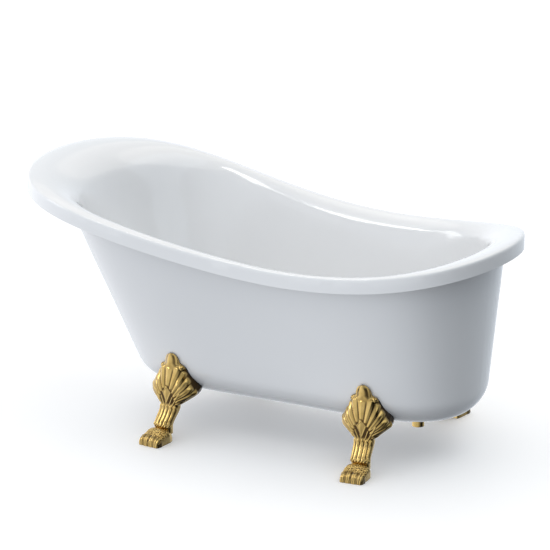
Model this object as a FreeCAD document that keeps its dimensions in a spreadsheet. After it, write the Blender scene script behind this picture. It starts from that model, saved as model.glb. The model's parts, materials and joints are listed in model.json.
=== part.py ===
import FreeCAD, Part
import math
import os
import re
import Sketcher

from FreeCAD import Placement, Rotation, Vector

# A free-standing slipper bathtub on four claw feet.
# Millimetres. +X runs to the foot end, which holds the waste and the overflow,
# the high backrest is at -X, +Z is up, and the origin is on the floor
# under the middle of the tub.

doc = FreeCAD.newDocument("clawfoot_bathtub")
sheet = doc.addObject("Spreadsheet::Sheet", "Sizes")

SIZES = (
    # rim, seen from above and from the side
    ("tub_length", 1600, "overall length of the rim"),
    ("rim_mid_width", 765, "width of the rim at half its length"),
    ("rim_fullness", 125.5, "how square the ends of the rim are in plan"),
    ("rim_taper", 47.3, "how much fuller the head end is than the foot end"),
    ("rim_low_height", 616, "lowest point of the rim above the floor"),
    ("rim_low_inset", 562, "lowest point of the rim from its foot end"),
    ("rim_head_height", 777, "rim at the backrest"),
    ("rim_foot_height", 687, "rim at the foot end"),
    ("rim_head_sweep", 1.03, "slope of the rim where it reaches the head, 2 is a parabola"),
    ("rim_foot_sweep", 1.89, "slope of the rim where it reaches the foot end"),
    ("lip_height", 46, "turned-down edge of the rim"),
    ("lip_edge_radius", 8, "rounding of the rim's outer top edge"),
    ("roll_depth", 18, "how far the rim rolls down at least"),
    ("roll_slope", 0.39, "how much further it rolls down for each mm of its width"),
    # outer shell
    ("skirt_bottom", 128, "flat underside of the tub above the floor"),
    ("skirt_ref_height", 600, "height at which the upper sizes of the outer shell are given"),
    ("skirt_head_inset_low", 390, "head end of the rim to the outer shell at its underside"),
    ("skirt_head_inset_high", 191, "the same at the reference height"),
    ("skirt_foot_inset_low", 100, "foot end of the rim to the outer shell at its underside"),
    ("skirt_foot_inset_high", 67, "the same at the reference height"),
    ("skirt_width_low", 454, "width of the outer shell at its underside"),
    ("skirt_width_high", 696, "width of the outer shell at the reference height"),
    ("skirt_fullness", 0.34, "how square the ends of the outer shell are in plan"),
    ("skirt_taper", 0.08, "how much fuller its head end is"),
    ("skirt_corner", 92, "rounding between underside and wall"),
    ("skirt_head_corner", 60, "the same rounding at the head end"),
    ("skirt_wall", 5, "thickness of the outer shell"),
    ("flange_recess", 12, "flange of the outer shell above the lip's lower edge"),
    ("flare_slope", 0.7, "height of the flare under the rim for each mm of its width"),
    ("bond_width", 2.4, "bead between flange and lip"),
    # inner shell
    ("basin_wall", 6, "thickness of the inner shell"),
    ("basin_floor", 172, "upper side of the tub's floor"),
    ("basin_corner", 75, "rounding between floor and walls"),
    ("basin_head_corner", 110, "the same rounding at the backrest"),
    ("side_gap", 30, "outer face of the skirt to the inside of the tub, at the sides"),
    ("head_gap", 34, "the same at the backrest"),
    ("foot_gap", 52, "the same at the foot end, which hides the overflow pipe"),
    # supports between the shells
    ("board_length", 600, "board under the floor of the tub"),
    ("board_width", 200, "the same, across the tub"),
    ("board_thickness", 18, "the same"),
    ("board_inset", 700, "middle of the board from the foot end of the rim"),
    ("board_corner", 40, "rounding of its corners in plan"),
    ("batten_width", 40, "battens between the board and the underside"),
    ("batten_spacing", 120, "middle to middle"),
    # claw feet, measured out from the wall of the outer shell above its corner
    ("foot_head_inset", 588, "middle of the feet near the backrest from the head end of the rim"),
    ("foot_drain_inset", 348, "middle of the feet near the waste from the foot end of the rim"),
    ("foot_top", 266, "tip of the leaf"),
    ("leaf_lean", 8.5, "tip of the leaf towards the middle of the tub"),
    ("hood_height", 242, "where the plain top lobe of the leaf starts to close"),
    ("hood_width", 55, "plain top lobe of the leaf"),
    ("shoulder_height", 222, "curls of the leaf below its top lobe"),
    ("shoulder_width", 96, "width of the leaf there"),
    ("leaf_height", 150, "where the leaf is widest"),
    ("leaf_width", 153, "widest part of the leaf"),
    ("waist_height", 102, "where the leg is slim below the leaf"),
    ("waist_width", 63, "width of the leg there"),
    ("ankle_height", 44, "where the leg meets the paw"),
    ("ankle_width", 58, "width of the leg there"),
    ("top_reach", 24, "front of the leaf at its tip"),
    ("hood_reach", 28, "front of the leaf below the tip"),
    ("leaf_reach", 39, "front of the leaf where it is widest"),
    ("waist_reach", 37, "front of the leg at the waist"),
    ("ankle_reach", 69, "front of the leg at the ankle"),
    ("leaf_depth", 112, "front to back of the leaf, before the tub is cut out of it"),
    ("waist_depth", 44, "front to back of the leg at the waist"),
    ("ankle_depth", 40, "front to back of the leg at the ankle"),
    ("lobe_angle", 22, "turn from one lobe of the leaf to the next, in degrees"),
    ("lobe_depth", 4, "grooves between the lobes"),
    ("flute_angle", 36, "turn from one flute of the leg to the next, in degrees"),
    ("flute_depth", 2.4, "depth of the flutes"),
    ("foot_wall", 9, "thickness of the hollow casting"),
    ("hollow_bottom", 58, "lower end of the hollow in the back of the leg"),
    ("web_thickness", 10, "plate of the casting that lies against the tub"),
    ("paw_heel", 57, "heel of the paw"),
    ("paw_reach", 129.5, "tips of the toes"),
    ("paw_width", 70, "widest part of the paw"),
    ("paw_height", 38, "highest part of the paw"),
    ("heel_height", 32, "height of the paw at its heel"),
    ("toe_height", 23, "top of the toes before they round off"),
    ("toe_depth", 4, "valleys between the toes"),
    ("pad_thickness", 3, "rubber pad between casting and tub"),
    ("pad_margin", 1.5, "edge of the pad past the casting"),
    ("seat_gap", 0.3, "gap between curved faces that bear on each other"),
    ("bore_gap", 0.1, "radial gap round screws and pipes in their holes"),
    # foot studs
    ("stud_height", 156, "where the studs leave the outer shell"),
    ("stud_radius", 6, "stud that holds a foot"),
    ("stud_hole_gap", 0.5, "radial gap of the stud in shell, pad and casting"),
    ("stud_depth", 20, "how deep the stud is set in its block"),
    ("stud_end", 2, "end of the stud past its nut"),
    ("washer_radius", 13, "washer under the nut"),
    ("washer_thickness", 2.5, "the same"),
    ("nut_flats", 19, "hexagon across flats"),
    ("nut_thickness", 10, "height of the nut"),
    ("spotface_depth", 1.2, "flat seat for the washer, sunk into the casting's plate"),
    ("spotface_gap", 2, "radial gap round the washer"),
    ("block_length", 90, "block bonded into the corner of the outer shell"),
    ("block_width", 52, "the same, up the corner"),
    ("block_thickness", 24, "the same, into the tub"),
    # levelling screws in the paws
    ("glide_radius", 14, "foot disc of the levelling screw"),
    ("glide_thickness", 5, "the same"),
    ("glide_gap", 0.6, "radial gap round the glide"),
    ("glide_place", 92, "middle of the glide, measured out as the paw is"),
    ("stem_radius", 5, "threaded stem of the glide"),
    ("stem_length", 20, "stem above the glide"),
    ("stem_gap", 0.06, "running fit of the stem"),
    ("stem_room", 3, "bore past the end of the stem"),
    # waste
    ("drain_inset", 300, "middle of the waste from the foot end of the rim"),
    ("drain_hole", 25, "radius of the hole in the floor"),
    ("gasket_thickness", 1.5, "under the flanges of waste and overflow"),
    ("flange_radius", 38, "flange of the waste"),
    ("flange_thickness", 3, "the same"),
    ("flange_chamfer", 1.2, "edge of flange and stopper"),
    ("neck_radius", 23, "screwed neck of the waste"),
    ("neck_length", 38, "neck below the flange"),
    ("neck_bore", 19.5, "way through the waste"),
    ("slot_width", 14, "openings in the neck for the overflow's water"),
    ("slot_height", 18, "height of these openings"),
    ("bar_width", 5, "cross that carries the stopper's post"),
    ("bar_height", 4, "the same"),
    ("post_radius", 4, "post that guides the stopper"),
    ("post_length", 30, "post above the cross"),
    ("seal_thickness", 3, "rubber rings under the floor and behind the end wall"),
    ("stopper_radius", 32, "cap of the waste"),
    ("stopper_edge", 3, "thickness of the cap at its edge"),
    ("stopper_crown", 3.5, "rise of the cap's middle"),
    ("crown_radius", 19.2, "where the cap's slope eases"),
    ("crown_rise", 2.45, "rise of the cap there"),
    ("sleeve_radius", 8, "sleeve of the stopper that slides on the post"),
    ("sleeve_length", 30, "sleeve below the cap"),
    ("sleeve_depth", 28, "bore of the sleeve"),
    ("sleeve_fit", 0.05, "running fit of the sleeve on the post"),
    ("ring_radius", 26, "rubber ring under the cap"),
    ("ring_height", 2, "height of the ring"),
    ("shoe_flange_radius", 33, "flange of the shoe under the floor"),
    ("shoe_flange_thickness", 5, "the same"),
    ("shoe_radius", 27.5, "body of the shoe"),
    ("shoe_seat", 130, "step in the shoe's bore above the pipe"),
    ("shoe_bottom", 104, "lower end of the shoe above the floor"),
    ("spigot_radius", 24.5, "lower end of the shoe, inside the slip nut"),
    ("spigot_length", 12, "height of that lower end"),
    ("pipe_entry", 20, "how far each pipe reaches into its socket"),
    ("tailpiece_radius", 19.05, "one and a half inch pipe"),
    ("tailpiece_wall", 1.5, "thickness of the pipe"),
    ("tailpiece_end", 72, "free end above the floor"),
    ("bead_radius", 20.5, "bead that stops the tailpiece at its nut"),
    ("bead_height", 3, "height of the bead"),
    ("bead_gap", 1, "bead to nut"),
    ("slip_nut_wall", 4, "thickness of the slip nut round its bore"),
    ("slip_nut_base", 5, "floor of the slip nut"),
    ("slip_ring_height", 3, "rubber ring inside the slip nut"),
    ("access_radius", 70, "opening in the underside round the waste"),
    # overflow
    ("overflow_height", 520, "middle of the overflow above the floor"),
    ("overflow_hole", 20, "radius of the hole in the end wall"),
    ("cover_radius", 34, "round cover inside the tub"),
    ("cover_depth", 9, "front of the cover from its gasket"),
    ("cover_wall", 1.8, "thickness of the cover"),
    ("cover_chamfer", 5.4, "edge of the cover"),
    ("cover_slot", 30, "width of the slot in the cover's lower edge"),
    ("cover_seat", 29, "inner radius of the gasket behind the cover"),
    ("tube_radius", 19, "screwed tube through the end wall"),
    ("chamber_radius", 24, "overflow box behind the end wall"),
    ("chamber_depth", 33, "front to back of the box"),
    ("chamber_wall", 2.5, "thickness of the box and its tube"),
    ("boss_radius", 6, "boss for the cover's screw"),
    ("screw_radius", 2.5, "screw that holds the cover"),
    ("screw_head", 6, "radius of its head"),
    ("screw_head_height", 2.5, "height of its head"),
    ("screw_head_chamfer", 1.2, "edge of its head"),
    ("screw_length", 24, "length below its head"),
    ("pipe_radius", 12, "outer radius of the overflow pipe"),
    ("pipe_wall", 1.8, "thickness of the overflow pipe"),
    ("pipe_inset", 22, "middle of the pipe from the outer face of the skirt"),
    ("pipe_rise", 19.5, "middle of the pipe above the underside of the tub"),
    ("socket_wall", 2.2, "sockets at both ends of the overflow pipe"),
    ("clip_wall", 1.2, "clips round the sockets"),
    ("clip_width", 8, "width of the clips"),
)

for line, (alias, number, note) in enumerate(SIZES, start=1):
    sheet.set("A%d" % line, note)
    sheet.set("B%d" % line, str(number))
    sheet.setAlias("B%d" % line, alias)
doc.recompute()

ALIASES = {alias for alias, number, note in SIZES}
RING_POINTS = 48        # points round each closed section


def size(alias):
    """A driving dimension, read from the sheet."""
    return float(sheet.get(alias))


def derive(alias, value, note):
    """Adds a worked-out size to the sheet: a number, or a formula in its other sizes."""
    row = len(ALIASES) + 1
    sheet.set("A%d" % row, note)
    sheet.set("B%d" % row, str(value))
    sheet.setAlias("B%d" % row, alias)
    ALIASES.add(alias)


derive("washer_seat", "=pad_thickness + 2 * seat_gap + web_thickness - spotface_depth",
       "seat of the stud's washer, out from the outer shell")
derive("stud_start", "=-skirt_wall - seat_gap - stud_depth", "inner end of the stud")
doc.recompute()


def expression(text):
    """An expression in plain aliases, with the sheet's name put before each."""
    return re.sub(r"[a-z_]+", lambda word: "Sizes." + word.group() if word.group() in ALIASES
                  else word.group(), text)


def bind(thing, **properties):
    """Ties properties of an object to the sheet. Two underscores stand for a dot."""
    for name, text in properties.items():
        thing.setExpression(name.replace("__", "."), expression(text))


def place(thing, x="0", y="0", z="0"):
    bind(thing, Placement__Base__x=x, Placement__Base__y=y, Placement__Base__z=z)


# ---------------------------------------------------------------- curved shells


def blend(start, end, share):
    return start + (end - start) * share


def ease(start, end, share):
    """Leaves start and reaches end with no slope."""
    return blend(start, end, share * share * (3 - 2 * share))


def angles():
    return [2 * math.pi * i / RING_POINTS for i in range(RING_POINTS)]


def ring_curve(points):
    """A smooth closed curve through the points, the same way round every ring."""
    curve = Part.BSplineCurve()
    curve.interpolate(Points=points, PeriodicFlag=True,
                      Parameters=[i / len(points) for i in range(len(points) + 1)])
    return curve


def skin(rings):
    """A face through closed rings that have as many points each."""
    steps = [sum((b - a).Length for a, b in zip(low, high)) for low, high in zip(rings, rings[1:])]
    across = [sum(steps[:i]) / sum(steps) for i in range(len(rings))]
    curves = [ring_curve(ring) for ring in rings]
    rows = []
    for column in zip(*[curve.getPoles() for curve in curves]):
        row = Part.BSplineCurve()
        row.interpolate(Points=list(column), Parameters=across)
        rows.append(row)
    surface = Part.BSplineSurface()
    surface.buildFromPolesMultsKnots(
        [row.getPoles() for row in rows], curves[0].getMultiplicities(), rows[0].getMultiplicities(),
        curves[0].getKnots(), rows[0].getKnots(), True, False, curves[0].Degree, rows[0].Degree)
    return surface.toShape()


def lid(ring):
    """A flat face inside a ring."""
    return Part.Face(Part.Wire([ring_curve(ring).toShape()]))


def closed_solid(faces):
    shell = Part.makeShell(faces)
    shell.sewShape()
    solid = Part.makeSolid(shell)
    if solid.Volume < 0:
        solid.reverse()
    return solid


def capped(rings):
    """A solid through rings whose first and last lie in planes."""
    return closed_solid([skin(rings), lid(rings[0]), lid(rings[-1])])


def thickened(rings, wall, first_shift=None, last_shift=None):
    """The rings moved by the wall's thickness to their left, square to the surface.

    first_shift and last_shift are set directions for the end rings.
    """
    count = len(rings[0])
    moved = []
    for index, ring in enumerate(rings):
        before = rings[max(index - 1, 0)]
        after = rings[min(index + 1, len(rings) - 1)]
        shift = first_shift if index == 0 else last_shift if index == len(rings) - 1 else None
        row = []
        for i, point in enumerate(ring):
            along = ring[(i + 1) % count] - ring[i - 1]
            normal = (after[i] - before[i]).cross(along).normalize()
            row.append(point + (shift or normal) * wall)
        moved.append(row)
    return moved


# ---------------------------------------------------------------- form of the tub


def rim_height(x):
    """The rim falls from the head to its lowest point and rises to the foot end."""
    half = size("tub_length") / 2
    low = half - size("rim_low_inset")
    if x < low:
        share, top, sweep = (low - x) / (low + half), size("rim_head_height"), size("rim_head_sweep")
    else:
        share, top, sweep = (x - low) / (half - low), size("rim_foot_height"), size("rim_foot_sweep")
    bottom = size("rim_low_height")
    rise = share ** 2 * (3 - 2 * share) + share ** 2 * (share - 1) * sweep
    return bottom + (top - bottom) * rise


def rim_plan(angle):
    """Outer edge of the rim from above."""
    half_width = (size("rim_mid_width") / 2 + size("rim_fullness") * (1 + math.cos(2 * angle))
                  - size("rim_taper") * math.cos(angle))
    return Vector(size("tub_length") / 2 * math.cos(angle), half_width * math.sin(angle), 0)


def rim_inward(angle):
    """Direction square to the rim's edge, towards the inside."""
    step = 0.001
    along = (rim_plan(angle + step) - rim_plan(angle - step)).normalize()
    return Vector(-along.y, along.x, 0)


def rim_point(angle, inset, drop):
    """A point inside the rim's edge and below its top."""
    edge = rim_plan(angle)
    return edge + rim_inward(angle) * inset + Vector(0, 0, rim_height(edge.x) - drop)


def corner_inset(height, radius):
    """How far a rounded corner stands in at a height above its flat side."""
    return radius - math.sqrt(radius ** 2 - (radius - height) ** 2) if height < radius else 0


def section_point(angle, z, head_inset=0, side_inset=0, foot_inset=0):
    """The outer shell's plan at a height, drawn in at its head, sides and foot end."""
    share = (z - size("skirt_bottom")) / (size("skirt_ref_height") - size("skirt_bottom"))
    end = size("tub_length") / 2
    head = blend(size("skirt_head_inset_low"), size("skirt_head_inset_high"), share) - end + head_inset
    foot = end - blend(size("skirt_foot_inset_low"), size("skirt_foot_inset_high"), share) - foot_inset
    half = blend(size("skirt_width_low"), size("skirt_width_high"), share) / 2 - side_inset
    fullness = size("skirt_fullness")
    squareness = (1 + fullness + fullness * math.cos(2 * angle)
                  - size("skirt_taper") * math.cos(angle))
    return Vector((head + foot) / 2 + (foot - head) / 2 * math.cos(angle),
                  half * math.sin(angle) * squareness, z)


def skirt_point(angle, z):
    """Wall and lower corner of the outer shell."""
    height = z - size("skirt_bottom")
    inset = corner_inset(height, size("skirt_corner"))
    head = corner_inset(height, size("skirt_head_corner"))
    return section_point(angle, z, head, inset, inset)


def corner_heights(bottom, radius, steps=8):
    """Heights at equal turns of a rounded corner."""
    return [bottom + radius * (1 - math.cos(math.pi / 2 * i / steps)) for i in range(steps + 1)]


def lower_skirt_rings():
    """Level sections of the outer shell, from its underside to above the feet."""
    heights = corner_heights(size("skirt_bottom"), size("skirt_corner"))
    top = size("foot_top") + size("hood_width")
    heights += [blend(heights[-1], top, share) for share in (1 / 3, 2 / 3, 1)]
    return [[skirt_point(angle, z) for angle in angles()] for z in heights]


def lower_skirt_body(grow):
    """The lower part of the outer shell as a full body, larger all round by grow."""
    rings = thickened(lower_skirt_rings(), -grow, Vector(0, 0, 1))
    below, last = rings[-2:]
    top = size("foot_top") + size("hood_width")
    rings[-1] = [a + (b - a) * ((top - a.z) / (b.z - a.z)) for a, b in zip(below, last)]
    return capped(rings)


def basin_point(angle, z):
    """Inner face of the tub below its rolled rim."""
    height = z - size("basin_floor")
    inset = corner_inset(height, size("basin_corner"))
    head = corner_inset(height, size("basin_head_corner"))
    return section_point(angle, z, size("head_gap") + head, size("side_gap") + inset,
                         size("foot_gap") + inset)


def flange_drop():
    """Underside of the outer shell's flange below the rim's top."""
    return size("lip_height") - size("flange_recess")


def bezier(points, share):
    """A point of the curve that the control points draw."""
    while len(points) > 1:
        points = [blend(a, b, share) for a, b in zip(points, points[1:])]
    return points[0]


# ---------------------------------------------------------------- the two shells


def basin_rings():
    """Sections of the inner shell from the lip's lower edge over the rim to the floor."""
    radius = size("lip_edge_radius")
    drops = [blend(size("lip_height"), radius, share) for share in (0, 0.4, 0.75, 1)]
    rings = [[rim_point(angle, 0, drop) for angle in angles()] for drop in drops]
    for turn in (math.radians(30), math.radians(60), math.radians(90)):
        rings.append([rim_point(angle, radius * (1 - math.cos(turn)), radius * (1 - math.sin(turn)))
                      for angle in angles()])
    roll_shares = [i / 9 for i in range(1, 10)]
    wall_shares = (0.8, 0.6, 0.4, 0.2, 0)
    corner_top = size("basin_floor") + size("basin_head_corner")
    rolls, walls = [], []
    for angle in angles():
        edge = rim_point(angle, radius, 0)
        near = basin_point(angle, edge.z - size("lip_height"))
        width = (Vector(near.x, near.y, 0) - Vector(edge.x, edge.y, 0)).Length
        foot = edge.z - size("roll_depth") - size("roll_slope") * width
        end = basin_point(angle, foot)
        up = (basin_point(angle, foot + 1) - end).normalize()
        inward = (Vector(end.x, end.y, 0) - Vector(edge.x, edge.y, 0)) * 0.5
        controls = [edge, edge + inward, end + up * (edge.z - foot) * 0.5, end]
        rolls.append([bezier(controls, share) for share in roll_shares])
        walls.append([basin_point(angle, blend(corner_top, foot, share)) for share in wall_shares])
    rings += [list(ring) for ring in zip(*rolls)]
    rings += [list(ring) for ring in zip(*walls)]
    heights = corner_heights(size("basin_floor"), size("basin_head_corner"))
    rings += [[basin_point(angle, z) for angle in angles()] for z in reversed(heights[:-1])]
    return rings


def skirt_rings():
    """Sections of the outer shell from its flat underside to the flange under the rim."""
    rings = lower_skirt_rings()
    wall_shares = (0.25, 0.5, 0.75, 1)
    flare_shares = [i / 6 for i in range(1, 7)]
    walls, flares = [], []
    for angle in angles():
        edge = rim_point(angle, size("basin_wall") + size("bond_width") + 2 * size("seat_gap"),
                         flange_drop())
        corner = skirt_point(angle, edge.z)
        foot = edge.z - size("flare_slope") * (edge - corner).Length
        walls.append([skirt_point(angle, blend(rings[-1][0].z, foot, share)) for share in wall_shares])
        controls = [walls[-1][-1], corner, edge]
        flares.append([bezier(controls, share) for share in flare_shares])
    rings += [list(ring) for ring in zip(*walls)]
    rings += [list(ring) for ring in zip(*flares)]
    return rings


def drain_x():
    return size("tub_length") / 2 - size("drain_inset")


def drain_cutter(radius):
    """An upright cylinder at the waste, through floor and underside."""
    base = Vector(drain_x(), 0, size("skirt_bottom") - size("skirt_wall"))
    return Part.makeCylinder(radius, size("basin_floor") - size("skirt_bottom") + size("basin_wall")
                             + size("skirt_wall"), base)


def turned_about(x_axis, z_axis):
    """The rotation that takes +Z to z_axis and +X to x_axis."""
    return Rotation(x_axis, z_axis.cross(x_axis), z_axis, "ZXY")


def overflow_frame():
    """Local +Z runs square to the end wall into the tub, local +X up the wall."""
    height = size("overflow_height")
    origin = basin_point(0, height)
    up = (basin_point(0, height + 1) - origin).normalize()
    return Placement(origin, turned_about(up, Vector(-up.z, 0, up.x)))


def half_width_at(x, z):
    """Half width of the outer shell at a place along it and a height."""
    low, high = 0.0, math.pi
    for _ in range(40):
        middle = (low + high) / 2
        if skirt_point(middle, z).x > x:
            low = middle
        else:
            high = middle
    return skirt_point(low, z).y


def foot_frame(foot_x, side):
    """On the floor below the wall, local -Y runs square to the wall away from the tub."""
    height = size("skirt_bottom") + size("skirt_corner")
    yaw = foot_yaw(foot_x)
    turn = yaw if side < 0 else 180 - yaw
    return Placement(Vector(foot_x, side * half_width_at(foot_x, height), 0),
                     Rotation(Vector(0, 0, 1), turn))


def foot_yaw(foot_x):
    """Angle between the wall's direction and the tub's length, in degrees."""
    height = size("skirt_bottom") + size("skirt_corner")
    near, far = half_width_at(foot_x - 1, height), half_width_at(foot_x + 1, height)
    return math.degrees(math.atan2(near - far, 2))


def stud_frame(foot_x, side):
    """Local +Z runs down and out, square to the outer shell's corner."""
    wall = size("skirt_bottom") + size("skirt_corner")
    height = size("stud_height")
    share = math.cos(math.radians(foot_yaw(foot_x)))
    inset = (half_width_at(foot_x, wall) - half_width_at(foot_x, height)) * share
    slope = (half_width_at(foot_x, height + 1) - half_width_at(foot_x, height - 1)) * share / 2
    out = Vector(0, -1, -slope).normalize()
    local = Placement(Vector(0, inset, height), turned_about(Vector(1, 0, 0), out))
    return foot_frame(foot_x, side).multiply(local)


def rod(radius, bottom, top, frame=None):
    """A round bar along the frame's +Z."""
    bar = Part.makeCylinder(radius, top - bottom, Vector(0, 0, bottom))
    if frame:
        bar.Placement = frame.multiply(bar.Placement)
    return bar


def feature(label, shape, placement=None):
    """A sub-part whose shape is worked out from the sheet's sizes."""
    thing = doc.addObject("Part::Feature", label)
    thing.Label = label
    thing.Shape = shape
    if placement:
        thing.Placement = placement
    return thing


# ---------------------------------------------------------------- tub


HEAD_FEET = size("foot_head_inset") - size("tub_length") / 2
DRAIN_FEET = size("tub_length") / 2 - size("foot_drain_inset")
FEET = (
    ("front_head", HEAD_FEET, -1),
    ("front_drain", DRAIN_FEET, -1),
    ("rear_head", HEAD_FEET, 1),
    ("rear_drain", DRAIN_FEET, 1),
)


def make_basin():
    outer = basin_rings()
    inner = thickened(outer, size("basin_wall"), last_shift=Vector(0, 0, -1))
    shell = closed_solid([skin(outer), skin(inner), skin([outer[0], inner[0]]),
                          lid(outer[-1]), lid(inner[-1])])
    shell = shell.cut(drain_cutter(size("drain_hole")))
    through = 2 * size("basin_wall")
    shell = shell.cut(rod(size("overflow_hole"), -through, through, overflow_frame()))
    return feature("basin", shell)


def make_skirt():
    outer = skirt_rings()
    inner = thickened(outer, size("skirt_wall"), Vector(0, 0, 1), Vector(0, 0, 1))
    shell = closed_solid([skin(outer), skin(inner), skin([outer[-1], inner[-1]]),
                          lid(outer[0]), lid(inner[0])])
    shell = shell.cut(drain_cutter(size("access_radius")))
    through = 2 * size("skirt_wall")
    for name, foot_x, side in FEET:
        frame = stud_frame(foot_x, side)
        shell = shell.cut(rod(size("stud_radius") + size("stud_hole_gap"), -through, through, frame))
    return feature("skirt", shell)


def make_rim_bond():
    """Bead that joins the flange of the outer shell to the inside of the lip."""
    near = size("basin_wall") + size("seat_gap")
    far = near + size("bond_width")
    low = flange_drop()
    high = low - size("skirt_wall")
    corners = ((near, low), (far, low), (far, high), (near, high))
    rings = [[rim_point(angle, inset, drop) for angle in angles()] for inset, drop in corners]
    return feature("rim_bond", closed_solid([skin([rings[i - 1], rings[i]]) for i in range(4)]))


# ---------------------------------------------------------------- claw feet

LEG_SQUARENESS = 2.6    # 2 is an ellipse
LEG_RINGS = 30          # sections up the leg and the leaf
TIP_TURNS = (20, 40, 58, 72, 80)    # sections round the leaf's tip, in degrees
HOLLOW_RINGS = 12
LEG_POINTS = 72         # points round each section of a foot
LOBE_ROOT = 0.8         # where the lobes of the leaf start, from ankle to waist
PAW_SQUARENESS = 3.4
PAW_CREST = 0.35        # highest part of the paw, from heel to toes
TOE_START = 0.8         # where the toes round off
TOE_ROUNDING = 0.85     # how far the toes come down at their tips
PAW_BULGE = 0.1         # how much narrower heel and toes are than the middle
PAW_SHARES = tuple(i / 14 for i in range(12)) + (0.86, 0.92, 0.97, 1)   # sections, heel to toes


def between(stations, height):
    """Eases from one (height, value) station to the next."""
    for (low, start), (high, end) in zip(stations, stations[1:]):
        if height <= high:
            return ease(start, end, max(0, (height - low) / (high - low)))
    return stations[-1][1]


def rounded(turn, squareness):
    """Share of a half width or depth round a section that is squarer than an ellipse."""
    return math.copysign(abs(turn) ** (2 / squareness), turn)


def leg_sizes(z):
    """Width, reach of the front and depth of the casting above the paw, at a height."""
    names = ("ankle", "waist", "leaf", "shoulder", "hood")
    heights = [size(name + "_height") for name in names]
    ankle, waist, leaf, shoulder, hood = heights
    width = between([(height, size(name + "_width")) for height, name in zip(heights, names)], z)
    front = between([(ankle, size("ankle_reach")), (waist, size("waist_reach")),
                     (leaf, size("leaf_reach")), (hood, size("hood_reach")),
                     (size("foot_top"), size("top_reach"))], z)
    depth = between([(ankle, size("ankle_depth")), (waist, size("waist_depth")),
                     (leaf, size("leaf_depth"))], z)
    return width, front, depth


def leaning(z, way):
    """How far the casting leans along the tub at a height; way is 1 or -1."""
    ankle = size("ankle_height")
    return way * size("leaf_lean") * max(0, z - ankle) / (size("foot_top") - ankle)


def leg_point(angle, z, way, grow=0):
    """A point of the casting's outside at a height, from the middle of its front."""
    hood, top = size("hood_height"), size("foot_top") + grow
    width, front, depth = leg_sizes(z)
    if z > hood:
        width *= math.sqrt(1 - ((z - hood) / (top - hood)) ** 2)
    across = (width / 2 + grow) * rounded(math.sin(angle), LEG_SQUARENESS)
    out = front - depth / 2 + depth / 2 * rounded(math.cos(angle), LEG_SQUARENESS)
    groove = leg_groove(angle, across, z)
    return Vector(across - groove * math.sin(angle) + leaning(z, way),
                  -out + groove * max(0, math.cos(angle)), z)


def leg_groove(angle, across, z):
    """Depth of the flutes down the leg and of the grooves between the leaf's lobes."""
    ankle, waist, hood = (size(name + "_height") for name in ("ankle", "waist", "hood"))
    front = max(0, math.cos(angle / 2)) ** 2
    flutes = between([(ankle, 0), ((ankle + waist) / 2, 1), (waist, 0)], z)
    flutes *= size("flute_depth") * (1 - math.cos(angle * 360 / size("flute_angle"))) / 2 * front
    root = ankle + (waist - ankle) * LOBE_ROOT
    spread = math.atan2(across, max(z - root, 1))
    lobes = between([(waist, 0), (waist + (hood - waist) * 0.2, 1), (hood, 1), (size("foot_top"), 0)], z)
    turns = spread / math.radians(size("lobe_angle"))
    lobes *= size("lobe_depth") * (1 - math.cos(turns * 2 * math.pi)) / 2 * front
    return flutes + lobes


def leg_body(way, grow=0):
    """The casting above the paw as a full body, still inside the tub at its back."""
    hood, top = size("hood_height"), size("foot_top") + grow
    bottom = size("ankle_height") / 2
    heights = [blend(bottom, hood, i / LEG_RINGS) for i in range(LEG_RINGS + 1)]
    heights += [hood + (top - hood) * math.sin(math.radians(turn)) for turn in TIP_TURNS]
    return capped([[leg_point(turn, z, way, grow) for turn in leg_turns()] for z in heights])


def hollow_body(way):
    """The hollow of the casting, which opens at the leg's back."""
    wall, bottom, top = size("foot_wall"), size("hollow_bottom"), size("hood_height")
    rings = []
    for z in [blend(bottom, top, i / HOLLOW_RINGS) for i in range(HOLLOW_RINGS + 1)]:
        width, front, depth = leg_sizes(z)
        rings.append([Vector((width / 2 - wall) * rounded(math.sin(turn), LEG_SQUARENESS) + leaning(z, way),
                             depth / 2 - front + wall
                             - depth / 2 * rounded(math.cos(turn), LEG_SQUARENESS), z)
                      for turn in leg_turns()])
    return capped(rings)


def leg_turns():
    return [2 * math.pi * i / LEG_POINTS for i in range(LEG_POINTS)]


def paw_point(turn, share):
    """A point round a cross-section of the paw, from heel to toes."""
    if share < PAW_CREST:
        height = ease(size("heel_height"), size("paw_height"), share / PAW_CREST)
    elif share < TOE_START:
        height = ease(size("paw_height"), size("toe_height"), (share - PAW_CREST) / (TOE_START - PAW_CREST))
    else:
        height = size("toe_height") * math.sqrt(1 - TOE_ROUNDING * ((share - TOE_START) / (1 - TOE_START)) ** 2)
    half = size("paw_width") / 2 * (1 - PAW_BULGE * (2 * share - 1) ** 4)
    across = half * rounded(math.cos(turn), PAW_SQUARENESS)
    rise = rounded(math.sin(turn), PAW_SQUARENESS)
    valley = ((1 + math.cos(2 * math.pi * across / half)) / 2) ** 2
    depth = size("toe_depth") * ease(0, 1, min(1, max(0, (share - PAW_CREST) / (TOE_START - PAW_CREST))))
    return Vector(across, -blend(size("paw_heel"), size("paw_reach"), share), (height - depth * valley) * rise)


def paw_body():
    whole = capped([[paw_point(turn, share) for turn in leg_turns()] for share in PAW_SHARES])
    reach = 2 * size("paw_reach")
    above = Part.makeBox(reach, reach, reach, Vector(-reach / 2, -reach, 0))
    return whole.common(above)


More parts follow.
